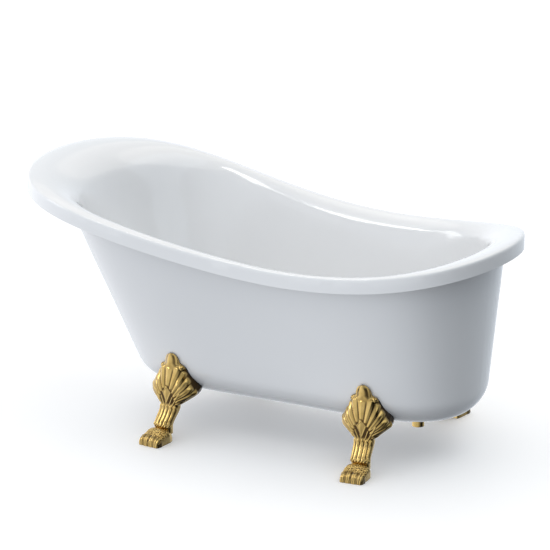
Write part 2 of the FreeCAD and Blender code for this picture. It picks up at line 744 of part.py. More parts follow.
def foot_shapes(foot_x):
    """A front casting and the rubber pad behind it, in the foot's own frame."""
    frame = foot_frame(foot_x, -1)
    way = math.copysign(1, HEAD_FEET + DRAIN_FEET - 2 * foot_x)
    stud = frame.inverse().multiply(stud_frame(foot_x, -1))

    def tub(grow):
        body = lower_skirt_body(grow)
        body.Placement = frame.inverse()
        return body

    gap, pad = size("seat_gap"), size("pad_thickness")
    hole = rod(size("stud_radius") + size("stud_hole_gap"), -size("web_thickness"),
               2 * size("web_thickness") + pad, stud)
    clear = size("washer_seat") + size("washer_thickness") + size("nut_thickness") + 3 * size("stud_end")
    spotface = rod(size("washer_radius") + size("spotface_gap"), size("washer_seat"), clear, stud)
    glide = Placement(Vector(0, -size("glide_place"), 0), Rotation())
    recess = rod(size("glide_radius") + size("glide_gap"), 0, size("glide_thickness") + gap, glide)
    bore = rod(size("stem_radius") + size("stem_gap"), 0,
               size("glide_thickness") + size("stem_length") + size("stem_room"), glide)
    hollow = hollow_body(way).cut(tub(pad + 2 * gap + size("web_thickness")))
    casting = leg_body(way).fuse(paw_body()).cut([hollow, tub(pad + 2 * gap), hole, spotface, recess, bore])
    rubber = leg_body(way, size("pad_margin")).common(tub(pad + gap)).cut([tub(gap), hole])
    return main_solid(casting), main_solid(rubber)


def make_feet():
    """Castings and pads; the rear ones mirror the front ones."""
    feet = []
    fronts = {foot_x: foot_shapes(foot_x) for name, foot_x, side in FEET if side < 0}
    for name, foot_x, side in FEET:
        casting, rubber = fronts[foot_x]
        if side > 0:
            casting, rubber = (shape.mirror(Vector(), Vector(1, 0, 0)) for shape in (casting, rubber))
        frame = foot_frame(foot_x, side)
        feet += [feature("claw_foot_" + name, casting, frame), feature("foot_pad_" + name, rubber, frame)]
    return feet


def main_solid(shape):
    """The largest solid, without slivers left by the tub's curve."""
    return max(shape.Solids, key=lambda solid: solid.Volume)


def make_block(name, foot_x, side):
    """Block inside the outer shell's corner that holds a stud."""
    frame = stud_frame(foot_x, side)
    inner = size("skirt_wall") + size("seat_gap")
    length, width = size("block_length"), size("block_width")
    block = Part.makeBox(length, width, size("block_thickness") + inner,
                         Vector(-length / 2, -width / 2, -size("block_thickness") - inner))
    shell = lower_skirt_body(-inner)
    shell.Placement = frame.inverse()
    hole = rod(size("stud_radius") + size("bore_gap"), -inner - size("stud_depth"), inner)
    return feature("foot_block_" + name, block.common(shell).cut(hole), frame)


def make_glide(name, foot_x, side):
    """Levelling screw in the paw's underside."""
    disc = doc.addObject("Part::Cylinder", "glide_disc_" + name)
    bind(disc, Radius="glide_radius", Height="glide_thickness")
    stem = doc.addObject("Part::Cylinder", "glide_stem_" + name)
    bind(stem, Radius="stem_radius", Height="glide_thickness + stem_length")
    whole = joined("leveler_" + name, [disc, stem])
    place_at = Placement(Vector(0, -size("glide_place"), 0), Rotation())
    whole.Placement = foot_frame(foot_x, side).multiply(place_at)
    return whole


def joined(label, shapes):
    """One node from several objects, fused where they touch."""
    whole = doc.addObject("Part::MultiFuse", label)
    whole.Label = label
    whole.Shapes = shapes
    return whole


def ring(label, outer, inner, bottom, height, frame=None):
    """A round ring along local +Z, with its sizes bound to the sheet."""
    outside = doc.addObject("Part::Cylinder", label + "_outside")
    bind(outside, Radius=outer, Height=height, Placement__Base__z=bottom)
    inside = doc.addObject("Part::Cylinder", label + "_inside")
    bind(inside, Radius=inner, Height=height, Placement__Base__z=bottom)
    whole = doc.addObject("Part::Cut", label)
    whole.Label = label
    whole.Base = outside
    whole.Tool = inside
    if frame:
        whole.Placement = frame
    return whole


def make_fasteners():
    """Studs, washers and nuts of the feet, each kind a group."""
    studs, washers, nuts = [], [], []
    for name, foot_x, side in FEET:
        frame = stud_frame(foot_x, side)
        stud = doc.addObject("Part::Cylinder", "stud_" + name)
        bind(stud, Radius="stud_radius",
             Height="washer_seat + washer_thickness + nut_thickness + stud_end - stud_start")
        stud.Placement = frame.multiply(Placement(Vector(0, 0, size("stud_start")), Rotation()))
        studs.append(stud)
        washers.append(ring("washer_" + name, "washer_radius", "stud_radius + bore_gap", "washer_seat",
                            "washer_thickness", frame))
        nut_bottom = "washer_seat + washer_thickness"
        hexagon = doc.addObject("Part::Prism", "hexagon_" + name)
        hexagon.Polygon = 6
        bind(hexagon, Circumradius="nut_flats / sqrt(3)", Height="nut_thickness",
             Placement__Base__z=nut_bottom)
        bore = doc.addObject("Part::Cylinder", "nut_bore_" + name)
        bind(bore, Radius="stud_radius + bore_gap", Height="nut_thickness", Placement__Base__z=nut_bottom)
        nut = doc.addObject("Part::Cut", "nut_" + name)
        nut.Base = hexagon
        nut.Tool = bore
        nut.Placement = frame
        nuts.append(nut)
    return [joined("foot_studs", studs), joined("foot_washers", washers), joined("foot_nuts", nuts)]


# ---------------------------------------------------------------- supports between the shells


def plane_of(body, role):
    return next(f for f in body.Origin.OriginFeatures if f.Role == role)


def outline(body, name, role, points):
    """A closed sketch whose corners are bound to the sheet."""
    sketch = body.newObject("Sketcher::SketchObject", name)
    sketch.AttachmentSupport = (plane_of(body, role), [""])
    sketch.MapMode = "FlatFace"
    count = len(points)
    starts = [Vector(math.cos(2 * math.pi * i / count) + 2, math.sin(2 * math.pi * i / count), 0)
              for i in range(count)]
    for i in range(count):
        sketch.addGeometry(Part.LineSegment(starts[i], starts[(i + 1) % count]), False)
    for i in range(count):
        sketch.addConstraint(Sketcher.Constraint("Coincident", i, 2, (i + 1) % count, 1))
    for i, (across, up) in enumerate(points):
        for kind, text in (("X", across), ("Y", up)):
            if text == "0":
                axis = -2 if kind == "X" else -1
                sketch.addConstraint(Sketcher.Constraint("PointOnObject", i, 1, axis))
                continue
            index = sketch.addConstraint(Sketcher.Constraint("Distance" + kind, -1, 1, i, 1, 1.0))
            sketch.renameConstraint(index, "%s%d" % (kind.lower(), i))
            sketch.setExpression("Constraints.%s%d" % (kind.lower(), i), expression(text))
    return sketch


def body_of(label):
    body = doc.addObject("PartDesign::Body", label)
    body.Label = label
    return body


def turned(label, points):
    """A body turned about its own Z, from (radius, height) corners."""
    body = body_of(label)
    sketch = outline(body, label + "_profile", "XZ_Plane", points)
    turn = body.newObject("PartDesign::Revolution", label + "_turn")
    turn.Profile = sketch
    turn.ReferenceAxis = (sketch, ["V_Axis"])
    turn.Angle = 360
    return body


BOARD_X = "tub_length / 2 - board_inset"
DRAIN_X = "tub_length / 2 - drain_inset"


def make_board():
    """Stiff board bonded under the floor of the tub."""
    body = body_of("base_board")
    half, side = "board_length / 2", "board_width / 2"
    sketch = outline(body, "board_outline", "XY_Plane",
                     [("-" + half, "-" + side), (half, "-" + side), (half, side), ("-" + half, side)])
    pad = body.newObject("PartDesign::Pad", "board_pad")
    pad.Profile = sketch
    bind(pad, Length="board_thickness")
    doc.recompute()
    upright = [i + 1 for i, edge in enumerate(pad.Shape.Edges)
               if abs(edge.Vertexes[0].Z - edge.Vertexes[-1].Z) > 1]
    fillet = body.newObject("PartDesign::Fillet", "board_corners")
    fillet.Base = (pad, ["Edge%d" % i for i in upright])
    bind(fillet, Radius="board_corner")
    place(body, BOARD_X, "0", "basin_floor - basin_wall - board_thickness")
    return body


def make_battens():
    """Two battens that stand on the outer shell and carry the board."""
    battens = []
    for name, side in (("front", "-"), ("rear", "")):
        batten = doc.addObject("Part::Box", "batten_" + name)
        bind(batten, Length="board_length", Width="batten_width",
             Height="basin_floor - basin_wall - board_thickness - skirt_bottom - skirt_wall")
        place(batten, BOARD_X + " - board_length / 2",
              side + "batten_spacing / 2 - batten_width / 2", "skirt_bottom + skirt_wall")
        battens.append(batten)
    return joined("base_battens", battens)


# ---------------------------------------------------------------- waste


def box(body, kind, name, length, width, height, bottom):
    """A bar across a body's axis, added to it or cut from it."""
    bar = body.newObject("PartDesign::%sBox" % kind, name)
    bind(bar, Length=length, Width=width, Height=height)
    place(bar, "-(%s) / 2" % length, "-(%s) / 2" % width, bottom)
    return bar


def make_drain_flange():
    """Strainer of the waste, with the post that guides the stopper."""
    foot = "-neck_length"
    body = turned("drain_flange", [
        ("neck_bore", "flange_thickness"), ("flange_radius - flange_chamfer", "flange_thickness"),
        ("flange_radius", "flange_thickness - flange_chamfer"), ("flange_radius", "0"),
        ("neck_radius", "0"), ("neck_radius", foot), ("neck_bore", foot)])
    cross = "2 * neck_bore + (neck_radius - neck_bore)"
    slot_bottom = foot + " + bar_height"
    box(body, "Subtractive", "slot_along", "2 * neck_radius + slot_width", "slot_width",
        "slot_height", slot_bottom)
    box(body, "Subtractive", "slot_across", "slot_width", "2 * neck_radius + slot_width",
        "slot_height", slot_bottom)
    box(body, "Additive", "bar_along", cross, "bar_width", "bar_height", foot)
    box(body, "Additive", "bar_across", "bar_width", cross, "bar_height", foot)
    post = body.newObject("PartDesign::AdditiveCylinder", "stopper_post")
    bind(post, Radius="post_radius", Height="post_length + bar_height", Placement__Base__z=foot)
    place(body, DRAIN_X, "0", "basin_floor + gasket_thickness")
    return body


def make_stopper():
    """Cap of the waste, with the sleeve that slides on the post."""
    body = turned("drain_stopper", [
        ("0", "stopper_edge + stopper_crown"),
        ("crown_radius", "stopper_edge + crown_rise"),
        ("stopper_radius - flange_chamfer", "stopper_edge"),
        ("stopper_radius", "stopper_edge - flange_chamfer"), ("stopper_radius", "0"),
        ("sleeve_radius", "0"), ("sleeve_radius", "-sleeve_length"),
        ("post_radius + sleeve_fit", "-sleeve_length"),
        ("post_radius + sleeve_fit", "sleeve_depth - sleeve_length"), ("0", "sleeve_depth - sleeve_length")])
    place(body, DRAIN_X, "0", STOPPER_SEAT)
    return body


def make_shoe():
    """Body of the waste under the floor, with the socket of the overflow pipe."""
    top = "basin_floor - basin_wall - seal_thickness"
    body = turned("drain_shoe", [
        ("neck_radius + bore_gap", top), ("shoe_flange_radius", top),
        ("shoe_flange_radius", top + " - shoe_flange_thickness"),
        ("shoe_radius", top + " - shoe_flange_thickness"),
        ("shoe_radius", "shoe_bottom + spigot_length"), ("spigot_radius", "shoe_bottom + spigot_length"),
        ("spigot_radius", "shoe_bottom"), ("tailpiece_radius + bore_gap", "shoe_bottom"),
        ("tailpiece_radius + bore_gap", "shoe_seat"), ("neck_radius + bore_gap", "shoe_seat")])
    reach = "shoe_radius + pipe_entry + socket_wall"
    socket = body.newObject("PartDesign::AdditiveCylinder", "pipe_socket")
    bind(socket, Radius="pipe_radius + bore_gap + socket_wall", Height=reach + " - neck_radius - socket_wall")
    socket.Placement = Placement(Vector(0, 0, 0), Rotation(Vector(0, 1, 0), 90))
    place(socket, "neck_radius + socket_wall", "0", "skirt_bottom + pipe_rise")
    way = body.newObject("PartDesign::SubtractiveCylinder", "pipe_way")
    bind(way, Radius="pipe_radius - pipe_wall", Height=reach)
    way.Placement = socket.Placement
    place(way, "0", "0", "skirt_bottom + pipe_rise")
    bore = body.newObject("PartDesign::SubtractiveCylinder", "pipe_bore")
    bind(bore, Radius="pipe_radius + bore_gap", Height="pipe_entry")
    bore.Placement = socket.Placement
    place(bore, reach + " - pipe_entry", "0", "skirt_bottom + pipe_rise")
    place(body, DRAIN_X)
    return body


def make_slip_nut():
    """Nut that holds the tailpiece in the shoe."""
    body = turned("slip_nut", [
        ("spigot_radius + bore_gap", "shoe_bottom + spigot_length"),
        ("spigot_radius + bore_gap + slip_nut_wall", "shoe_bottom + spigot_length"),
        ("spigot_radius + bore_gap + slip_nut_wall", "shoe_bottom - slip_ring_height - slip_nut_base"),
        ("tailpiece_radius + bore_gap", "shoe_bottom - slip_ring_height - slip_nut_base"),
        ("tailpiece_radius + bore_gap", "shoe_bottom - slip_ring_height"),
        ("spigot_radius + bore_gap", "shoe_bottom - slip_ring_height")])
    place(body, DRAIN_X)
    return body


def make_tailpiece():
    """Pipe below the shoe, whose free end goes to the floor waste."""
    inner = "tailpiece_radius - tailpiece_wall"
    top = "shoe_bottom + pipe_entry"
    bead_top = "shoe_bottom - slip_ring_height - slip_nut_base - bead_gap"
    body = turned("tailpiece", [
        (inner, top), ("tailpiece_radius", top), ("tailpiece_radius", bead_top),
        ("bead_radius", bead_top), ("bead_radius", bead_top + " - bead_height"),
        ("tailpiece_radius", bead_top + " - bead_height"), ("tailpiece_radius", "tailpiece_end"),
        (inner, "tailpiece_end")])
    place(body, DRAIN_X)
    return body


def make_waste():
    at_drain = Placement(Vector(drain_x(), 0, 0), Rotation())
    floor_under = "basin_floor - basin_wall"
    return [
        make_drain_flange(),
        ring("drain_gasket", "flange_radius", "drain_hole", "basin_floor", "gasket_thickness", at_drain),
        ring("drain_seal", "shoe_flange_radius", "drain_hole", floor_under + " - seal_thickness",
             "seal_thickness", at_drain),
        make_stopper(),
        ring("stopper_ring", "ring_radius", "sleeve_radius + bore_gap", STOPPER_SEAT + " - ring_height",
             "ring_height - bore_gap", at_drain),
        make_shoe(),
        make_slip_nut(),
        ring("slip_ring", "spigot_radius", "tailpiece_radius + bore_gap",
             "shoe_bottom - slip_ring_height", "slip_ring_height", at_drain),
        make_tailpiece(),
    ]


STOPPER_SEAT = "basin_floor + gasket_thickness + flange_thickness + ring_height + bore_gap"


# ---------------------------------------------------------------- overflow


def wall_reach(basin, radius):
    """Box round the end wall's piece within a radius of the overflow, in the overflow's frame."""
    through = 3 * size("basin_wall")
    piece = rod(radius, -through, through, overflow_frame()).common(basin.Shape)
    piece.Placement = overflow_frame().inverse()
    return piece.optimalBoundingBox()


def make_cover():
    """Round cover of the overflow, open at its lower edge."""
    back = "overflow_rise + gasket_thickness"
    body = turned("overflow_cover", [
        ("cover_radius", back), ("cover_radius", back + " + cover_depth - cover_chamfer"),
        ("cover_radius - cover_chamfer", back + " + cover_depth"),
        ("screw_radius + bore_gap", back + " + cover_depth"),
        ("screw_radius + bore_gap", back + " + cover_depth - cover_wall"),
        ("cover_radius - cover_chamfer - cover_wall", back + " + cover_depth - cover_wall"),
        ("cover_radius - cover_wall", back + " + cover_depth - cover_chamfer - cover_wall"),
        ("cover_radius - cover_wall", back)])
    slot = body.newObject("PartDesign::SubtractiveBox", "cover_slot")
    bind(slot, Length="cover_radius", Width="cover_slot", Height="cover_depth - cover_chamfer - cover_wall")
    place(slot, "-cover_radius - cover_wall", "-cover_slot / 2", back)
    body.Placement = overflow_frame()
    return body


def make_chamber():
    """Box behind the end wall that takes the water down to the pipe."""
    face = "-overflow_back - seal_thickness"
    back = face + " - chamber_depth"
    body = turned("overflow_body", [
        ("tube_radius", "0"), ("tube_radius", face), ("chamber_radius", face), ("chamber_radius", back),
        ("0", back), ("0", "0"), ("boss_radius", "0"), ("boss_radius", back + " + chamber_wall"),
        ("chamber_radius - chamber_wall", back + " + chamber_wall"),
        ("chamber_radius - chamber_wall", face + " - chamber_wall"),
        ("tube_radius - chamber_wall", face + " - chamber_wall"), ("tube_radius - chamber_wall", "0")])
    down = overflow_frame().inverse().multVec(pipe_point(size("overflow_height"))).z
    turn = Rotation(Vector(0, 1, 0), -90)
    socket = body.newObject("PartDesign::AdditiveCylinder", "pipe_socket_top")
    bind(socket, Radius="pipe_radius + bore_gap + socket_wall", Height="pipe_entry + 2 * chamber_wall")
    socket.Placement = Placement(Vector(0, 0, down), turn)
    place(socket, "-chamber_radius + 2 * chamber_wall", "0", str(down))
    way = body.newObject("PartDesign::SubtractiveCylinder", "pipe_way_top")
    bind(way, Radius="pipe_radius - pipe_wall", Height="pipe_entry + 4 * chamber_wall")
    way.Placement = Placement(Vector(0, 0, down), turn)
    place(way, "-chamber_radius + 4 * chamber_wall", "0", str(down))
    bore = body.newObject("PartDesign::SubtractiveCylinder", "pipe_bore_top")
    bind(bore, Radius="pipe_radius + bore_gap", Height="pipe_entry")
    bore.Placement = Placement(Vector(0, 0, down), turn)
    place(bore, "-chamber_radius", "0", str(down))
    hole = body.newObject("PartDesign::SubtractiveCylinder", "screw_hole")
    bind(hole, Radius="screw_radius + bore_gap", Height="screw_length")
    place(hole, "0", "0", "-screw_length + bore_gap")
    body.Placement = overflow_frame()
    return body


def pipe_point(z):
    """Middle of the overflow pipe beside the end wall, at a height."""
    return section_point(0, z, foot_inset=size("pipe_inset"))


def make_pipe():
    """Pipe from the overflow down the end wall and along under the floor to the shoe."""
    low = size("skirt_bottom") + size("pipe_rise")
    up = (pipe_point(low + 1) - pipe_point(low)).normalize()
    frame = overflow_frame()
    top = frame.multVec(Vector(-size("chamber_radius"), 0,
                               frame.inverse().multVec(pipe_point(size("overflow_height"))).z))
    top = pipe_point(top.z)
    corner = pipe_point(low)
    end = Vector(drain_x() + size("shoe_radius") + size("socket_wall"), 0, low)
    bend = size("skirt_corner") - size("pipe_inset")
    leg = bend * math.tan((math.pi - up.getAngle(Vector(-1, 0, 0))) / 2)
    start_arc, end_arc = corner + up * leg, corner - Vector(leg, 0, 0)
    centre_way = (start_arc + end_arc - corner * 2).normalize()
    centre = corner + centre_way * math.hypot(bend, leg)
    middle = centre - centre_way * bend
    path = Part.Wire([Part.LineSegment(top, start_arc).toShape(),
                      Part.Arc(start_arc, middle, end_arc).toShape(),
                      Part.LineSegment(end_arc, end).toShape()])

    def swept(radius):
        circle = Part.Wire([Part.makeCircle(radius, top, up)])
        return path.makePipeShell([circle], True, True)

    return feature("overflow_pipe", swept(size("pipe_radius")).cut(
        swept(size("pipe_radius") - size("pipe_wall"))))


def make_clips():
    """Clips round the two sockets of the overflow pipe."""
    outer = "pipe_radius + 2 * bore_gap + socket_wall + clip_wall"
    inner = "pipe_radius + 2 * bore_gap + socket_wall"
    low = size("skirt_bottom") + size("pipe_rise")
    at_shoe = Placement(Vector(drain_x() + size("shoe_radius") + size("clip_width"), 0, low),
                        Rotation(Vector(0, 1, 0), 90))
    frame = overflow_frame()
    down = frame.inverse().multVec(pipe_point(size("overflow_height"))).z
    at_body = frame.multiply(Placement(Vector(-size("chamber_radius") - size("clip_width") / 2, 0, down),
                                       Rotation(Vector(0, 1, 0), -90)))
    clips = [ring("clip_low", outer, inner, "0", "clip_width", at_shoe),
             ring("clip_high", outer, inner, "0", "clip_width", at_body)]
    return joined("pipe_clips", clips)


def make_overflow(basin):
    frame = overflow_frame()
    gap = size("seat_gap")
    note = "worked out from the shape of the end wall"
    derive("overflow_rise", wall_reach(basin, size("cover_radius")).ZMax + gap, note)
    derive("overflow_back", gap - wall_reach(basin, size("chamber_radius")).ZMin, note)
    doc.recompute()
    seat = "overflow_rise + gasket_thickness + cover_depth"
    top = seat + " + screw_head_height"
    tip = "bore_gap - screw_length + screw_head_height"
    screw = turned("cover_screw", [
        ("0", top), ("screw_head - screw_head_chamfer", top),
        ("screw_head", top + " - screw_head_chamfer"), ("screw_head", seat), ("screw_radius", seat),
        ("screw_radius", tip), ("0", tip)])
    screw.Placement = frame
    return [
        make_cover(),
        ring("overflow_gasket", "cover_radius", "cover_seat", "overflow_rise", "gasket_thickness", frame),
        ring("overflow_seal", "chamber_radius", "overflow_hole", "-overflow_back - seal_thickness",
             "seal_thickness", frame),
        make_chamber(),
        screw,
        make_pipe(),
        make_clips(),
    ]


# ---------------------------------------------------------------- assembly and files

basin = make_basin()
parts = [basin, make_skirt(), make_rim_bond(), make_board(), make_battens()]
parts += make_feet()
parts += [make_block(*foot) for foot in FEET]
parts += [make_glide(*foot) for foot in FEET]
parts += make_fasteners()
parts += make_waste()
parts += make_overflow(basin)

doc.recompute()
for thing in doc.Objects:
    if "Invalid" in thing.State or "Error" in thing.State:
        raise RuntimeError("%s failed: %s" % (thing.Label, thing.State))
for part in parts:
    if part.Shape.isNull() or not part.Shape.isValid():
        raise RuntimeError("%s has no valid shape" % part.Label)

os.makedirs("parts", exist_ok=True)
for part in parts:
    part.Shape.exportStep("parts/%s.step" % part.Label)
    print("%-28s solids %d volume %.1f cm3" % (part.Label, len(part.Shape.Solids),
                                               part.Shape.Volume / 1000))
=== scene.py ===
import json
import math

import bpy
import numpy as np
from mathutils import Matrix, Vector
from mathutils.bvhtree import BVHTree


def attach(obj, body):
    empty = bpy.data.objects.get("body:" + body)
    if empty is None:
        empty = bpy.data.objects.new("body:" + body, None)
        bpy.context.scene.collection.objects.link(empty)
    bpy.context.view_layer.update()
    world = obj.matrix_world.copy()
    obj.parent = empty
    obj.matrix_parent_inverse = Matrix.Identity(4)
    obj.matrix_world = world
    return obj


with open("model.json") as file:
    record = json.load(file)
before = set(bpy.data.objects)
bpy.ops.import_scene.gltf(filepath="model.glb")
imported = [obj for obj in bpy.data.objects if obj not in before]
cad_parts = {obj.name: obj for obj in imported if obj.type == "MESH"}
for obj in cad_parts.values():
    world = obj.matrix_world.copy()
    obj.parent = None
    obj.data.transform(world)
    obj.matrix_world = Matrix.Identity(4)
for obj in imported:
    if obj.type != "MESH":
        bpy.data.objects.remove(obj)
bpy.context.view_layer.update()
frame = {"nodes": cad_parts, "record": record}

# A claw-foot slipper tub: white gloss shells, carved polished feet.
# Values named *_MM and the frame of a foot are in millimetres, all other lengths in metres.
MM = 0.001
TINY = 1e-9

# ---------------------------------------------------------------- helpers


def step(low, high, value):
    """From 0 at low to 1 at high, with soft ends."""
    share = np.clip((value - low) / (high - low), 0, 1)
    return share * share * (3 - 2 * share)


def window(start, rise, fall, end, value):
    """1 from rise to fall, and 0 before start and after end."""
    return step(start, rise, value) * (1 - step(fall, end, value))


def bell(value, width):
    return np.exp(-((value / width) ** 2))


def dome(value):
    """Half a circle: 1 in the middle and 0 from 1 on."""
    return np.sqrt(np.clip(1 - value ** 2, 0, 1))


def power(value, squareness):
    """A sine or a cosine for a rounded square instead of a circle."""
    return np.sign(value) * np.abs(value) ** (2 / squareness)


def between(stations, height):
    """The value at a height, from stations that each have a height and a value."""
    for (low, start), (high, end) in zip(stations, stations[1:]):
        if height <= high:
            return start + (end - start) * step(low, high, height)
    return stations[-1][1]


def put(name, data, place=(0, 0, 0), ahead=None, axis="-Z"):
    """A new object in the scene, with an axis of its own turned ahead."""
    thing = bpy.data.objects.new(name, data)
    thing.location = place
    if ahead is not None:
        thing.rotation_mode = "QUATERNION"
        thing.rotation_quaternion = Vector(ahead).to_track_quat(axis, "Y")
    bpy.context.scene.collection.objects.link(thing)
    return thing


# ---------------------------------------------------------------- materials

NOISE_MIDDLE = (0.3, 0.7)                       # where a noise is dark and where it is light
MIX_FIRST, MIX_SECOND, MIX_RESULT = 6, 7, 2     # a Mix node's sockets for colours


class Shader:
    """A material's node tree with one Principled shader, whose looks follow noises."""

    def __init__(self, name, **sockets):
        self.material = bpy.data.materials.new(name)
        self.material.use_nodes = True
        self.nodes = self.material.node_tree.nodes
        self.links = self.material.node_tree.links
        self.main = self.nodes["Principled BSDF"]
        for socket, value in sockets.items():
            self.main.inputs[socket.replace("_", " ")].default_value = value

    def add(self, kind, **values):
        """A node with the values of its settings and sockets."""
        node = self.nodes.new(kind)
        for key, value in values.items():
            if hasattr(node, key):
                setattr(node, key, value)
            else:
                node.inputs[key.replace("_", " ")].default_value = value
        return node

    def noise(self, scale, detail=4.0, stretch=(1, 1, 1)):
        source = self.add("ShaderNodeTexCoord")
        mapping = self.add("ShaderNodeMapping", Scale=stretch)
        node = self.add("ShaderNodeTexNoise", Scale=scale, Detail=detail)
        self.links.new(source.outputs["Object"], mapping.inputs["Vector"])
        self.links.new(mapping.outputs["Vector"], node.inputs["Vector"])
        return node.outputs["Fac"]

    def colour(self, noise, dark, light, shade_colour=None):
        ramp = self.add("ShaderNodeValToRGB")
        for element, place, tone in zip(ramp.color_ramp.elements, NOISE_MIDDLE, (dark, light)):
            element.position, element.color = place, (*tone, 1)
        self.links.new(noise, ramp.inputs["Fac"])
        output = ramp.outputs["Color"]
        # Where given, a colour of painted shade is mixed in by the mesh's values of shade.
        if shade_colour:
            output = self.with_painted_shade(output, shade_colour)
        self.links.new(output, self.main.inputs["Base Color"])

    def with_painted_shade(self, output, shade_colour):
        """A colour that darkens towards a painted shade colour by the mesh's values of painted shade in its
        crevices.
        """
        painted_shade = self.add("ShaderNodeAttribute", attribute_name="painted_shade")
        mix = self.add("ShaderNodeMix", data_type="RGBA")
        self.links.new(painted_shade.outputs["Fac"], mix.inputs["Factor"])
        self.links.new(output, mix.inputs[MIX_FIRST])
        mix.inputs[MIX_SECOND].default_value = (*shade_colour, 1)
        return mix.outputs[MIX_RESULT]

    def roughness(self, noise, low, high):
        spread = self.add("ShaderNodeMapRange", To_Min=low, To_Max=high)
        self.links.new(noise, spread.inputs["Value"])
        self.links.new(spread.outputs["Result"], self.main.inputs["Roughness"])

    def bumps(self, noise, distance, strength):
        bump = self.add("ShaderNodeBump", Strength=strength, Distance=distance)
        self.links.new(noise, bump.inputs["Height"])
        self.links.new(bump.outputs["Normal"], self.main.inputs["Normal"])


def acrylic():
    shader = Shader("white_acrylic", IOR=1.49, Coat_Weight=0.6, Coat_Roughness=0.03)
    shader.colour(shader.noise(2.5, detail=3.0), dark=(0.83, 0.835, 0.84), light=(0.85, 0.855, 0.86))
    shader.roughness(shader.noise(14.0, detail=5.0), low=0.10, high=0.17)
    shader.bumps(shader.noise(9.0, detail=1.0), distance=0.0006, strength=0.25)
    return shader.material


def gold():
    shader = Shader("polished_gold", Metallic=1.0, Coat_Weight=0.25, Coat_Roughness=0.08)
    # The nearly black colour below is painted shade, laid into the crevices and over the inside of the
    # carved feet.
    shader.colour(shader.noise(38.0, detail=6.0), dark=(0.48, 0.32, 0.095), light=(0.62, 0.43, 0.15),
                  shade_colour=(0.065, 0.034, 0.007))
    shader.roughness(shader.noise(120.0, detail=6.0), low=0.10, high=0.24)
    shader.bumps(shader.noise(260.0), distance=0.0003, strength=0.35)
    return shader.material


def rubber():
    shader = Shader("black_rubber")
    shader.colour(shader.noise(90.0), dark=(0.012, 0.012, 0.013), light=(0.03, 0.03, 0.032))
    shader.roughness(shader.noise(300.0), low=0.55, high=0.8)
    shader.bumps(shader.noise(900.0, detail=2.0), distance=0.0002, strength=0.5)
    return shader.material


def steel():
    shader = Shader("zinc_plated_steel", Metallic=1.0)
    shader.colour(shader.noise(60.0), dark=(0.50, 0.51, 0.53), light=(0.68, 0.69, 0.71))
    shader.roughness(shader.noise(400.0, stretch=(1, 1, 8)), low=0.25, high=0.45)
    shader.bumps(shader.noise(700.0, detail=2.0, stretch=(1, 1, 10)), distance=0.0001, strength=0.4)
    return shader.material


def plywood():
    shader = Shader("plywood")
    grain = shader.noise(18.0, detail=8.0, stretch=(1, 9, 9))
    shader.colour(grain, dark=(0.36, 0.22, 0.11), light=(0.60, 0.44, 0.26))
    shader.roughness(grain, low=0.55, high=0.75)
    shader.bumps(grain, distance=0.0004, strength=0.4)
    return shader.material


def moulded(name, dark, light):
    shader = Shader(name)
    shader.colour(shader.noise(30.0), dark, light)
    shader.roughness(shader.noise(200.0), low=0.35, high=0.5)
    shader.bumps(shader.noise(600.0, detail=2.0), distance=0.0001, strength=0.4)
    return shader.material


MATERIALS = {
    "white_acrylic": acrylic(),
    "polished_gold": gold(),
    "black_rubber": rubber(),
    "zinc_plated_steel": steel(),
    "plywood": plywood(),
    "grey_pipe_plastic": moulded("grey_pipe_plastic", (0.30, 0.31, 0.33), (0.40, 0.41, 0.43)),
    "bonding_resin": moulded("bonding_resin", (0.60, 0.60, 0.57), (0.74, 0.74, 0.70)),
}


def dress(piece, slot):
    piece.data.materials.clear()
    piece.data.materials.append(MATERIALS[slot])


SLOTS = {row["node"]: row["material_slot"] for row in frame["record"]["subparts"]}
for name, node in frame["nodes"].items():
    dress(node, SLOTS[name])

# ---------------------------------------------------------------- core of the leg
# In a foot's own frame: u along the tub, s out from its wall, z up.
# The leg with its leaf and the paw each have a carved skin over the cast core.

ANKLE_MM, WAIST_MM, LEAF_MM, SHOULDER_MM, HOOD_MM, TIP_MM = 44, 102, 150, 222, 242, 272
WIDTHS_MM = ((ANKLE_MM, 58), (WAIST_MM, 63), (LEAF_MM, 153), (SHOULDER_MM, 96), (HOOD_MM, 55))
FRONTS_MM = ((ANKLE_MM, 69), (WAIST_MM, 37), (LEAF_MM, 39), (HOOD_MM, 28), (TIP_MM, 26))
DEPTHS_MM = ((ANKLE_MM, 40), (WAIST_MM, 44), (LEAF_MM, 112))
LEG_SQUARENESS = 2.6
LEAN_MM, LEAN_TOP_MM = 8.5, 266


def leg_sizes(z):
    """Width, front and depth of the leg at a height."""
    width, front, depth = (between(stations, z) for stations in (WIDTHS_MM, FRONTS_MM, DEPTHS_MM))
    if z > HOOD_MM:
        width *= math.sqrt(max(0.0, 1 - ((z - HOOD_MM) / (TIP_MM - HOOD_MM)) ** 2))
    return width, front, depth


def leg_lean(z, way):
    """How far the leg stands off to one way along the tub at a height."""
    return way * LEAN_MM * max(0, z - ANKLE_MM) / (LEAN_TOP_MM - ANKLE_MM)


def leg_section(z, turns, way):
    """Points round the leg at a height, without its carving."""
    width, front, depth = leg_sizes(z)
    return np.stack([width / 2 * power(np.sin(turns), LEG_SQUARENESS) + leg_lean(z, way),
                     front - depth / 2 + depth / 2 * power(np.cos(turns), LEG_SQUARENESS),
                     np.full_like(turns, z)], axis=-1)


# ---------------------------------------------------------------- carving of the leg
# Each function adds one kind of carving to the height over the core and to the painted shade in its
# crevices, which is 0 to 1. Points lie at a distance to the side of the middle line and at a height z.

GROUND_MM, LEAST_MM = 0.3, 0.15
PAW_FADE_MM = (28, 36)                          # the carving sinks into the paw below this

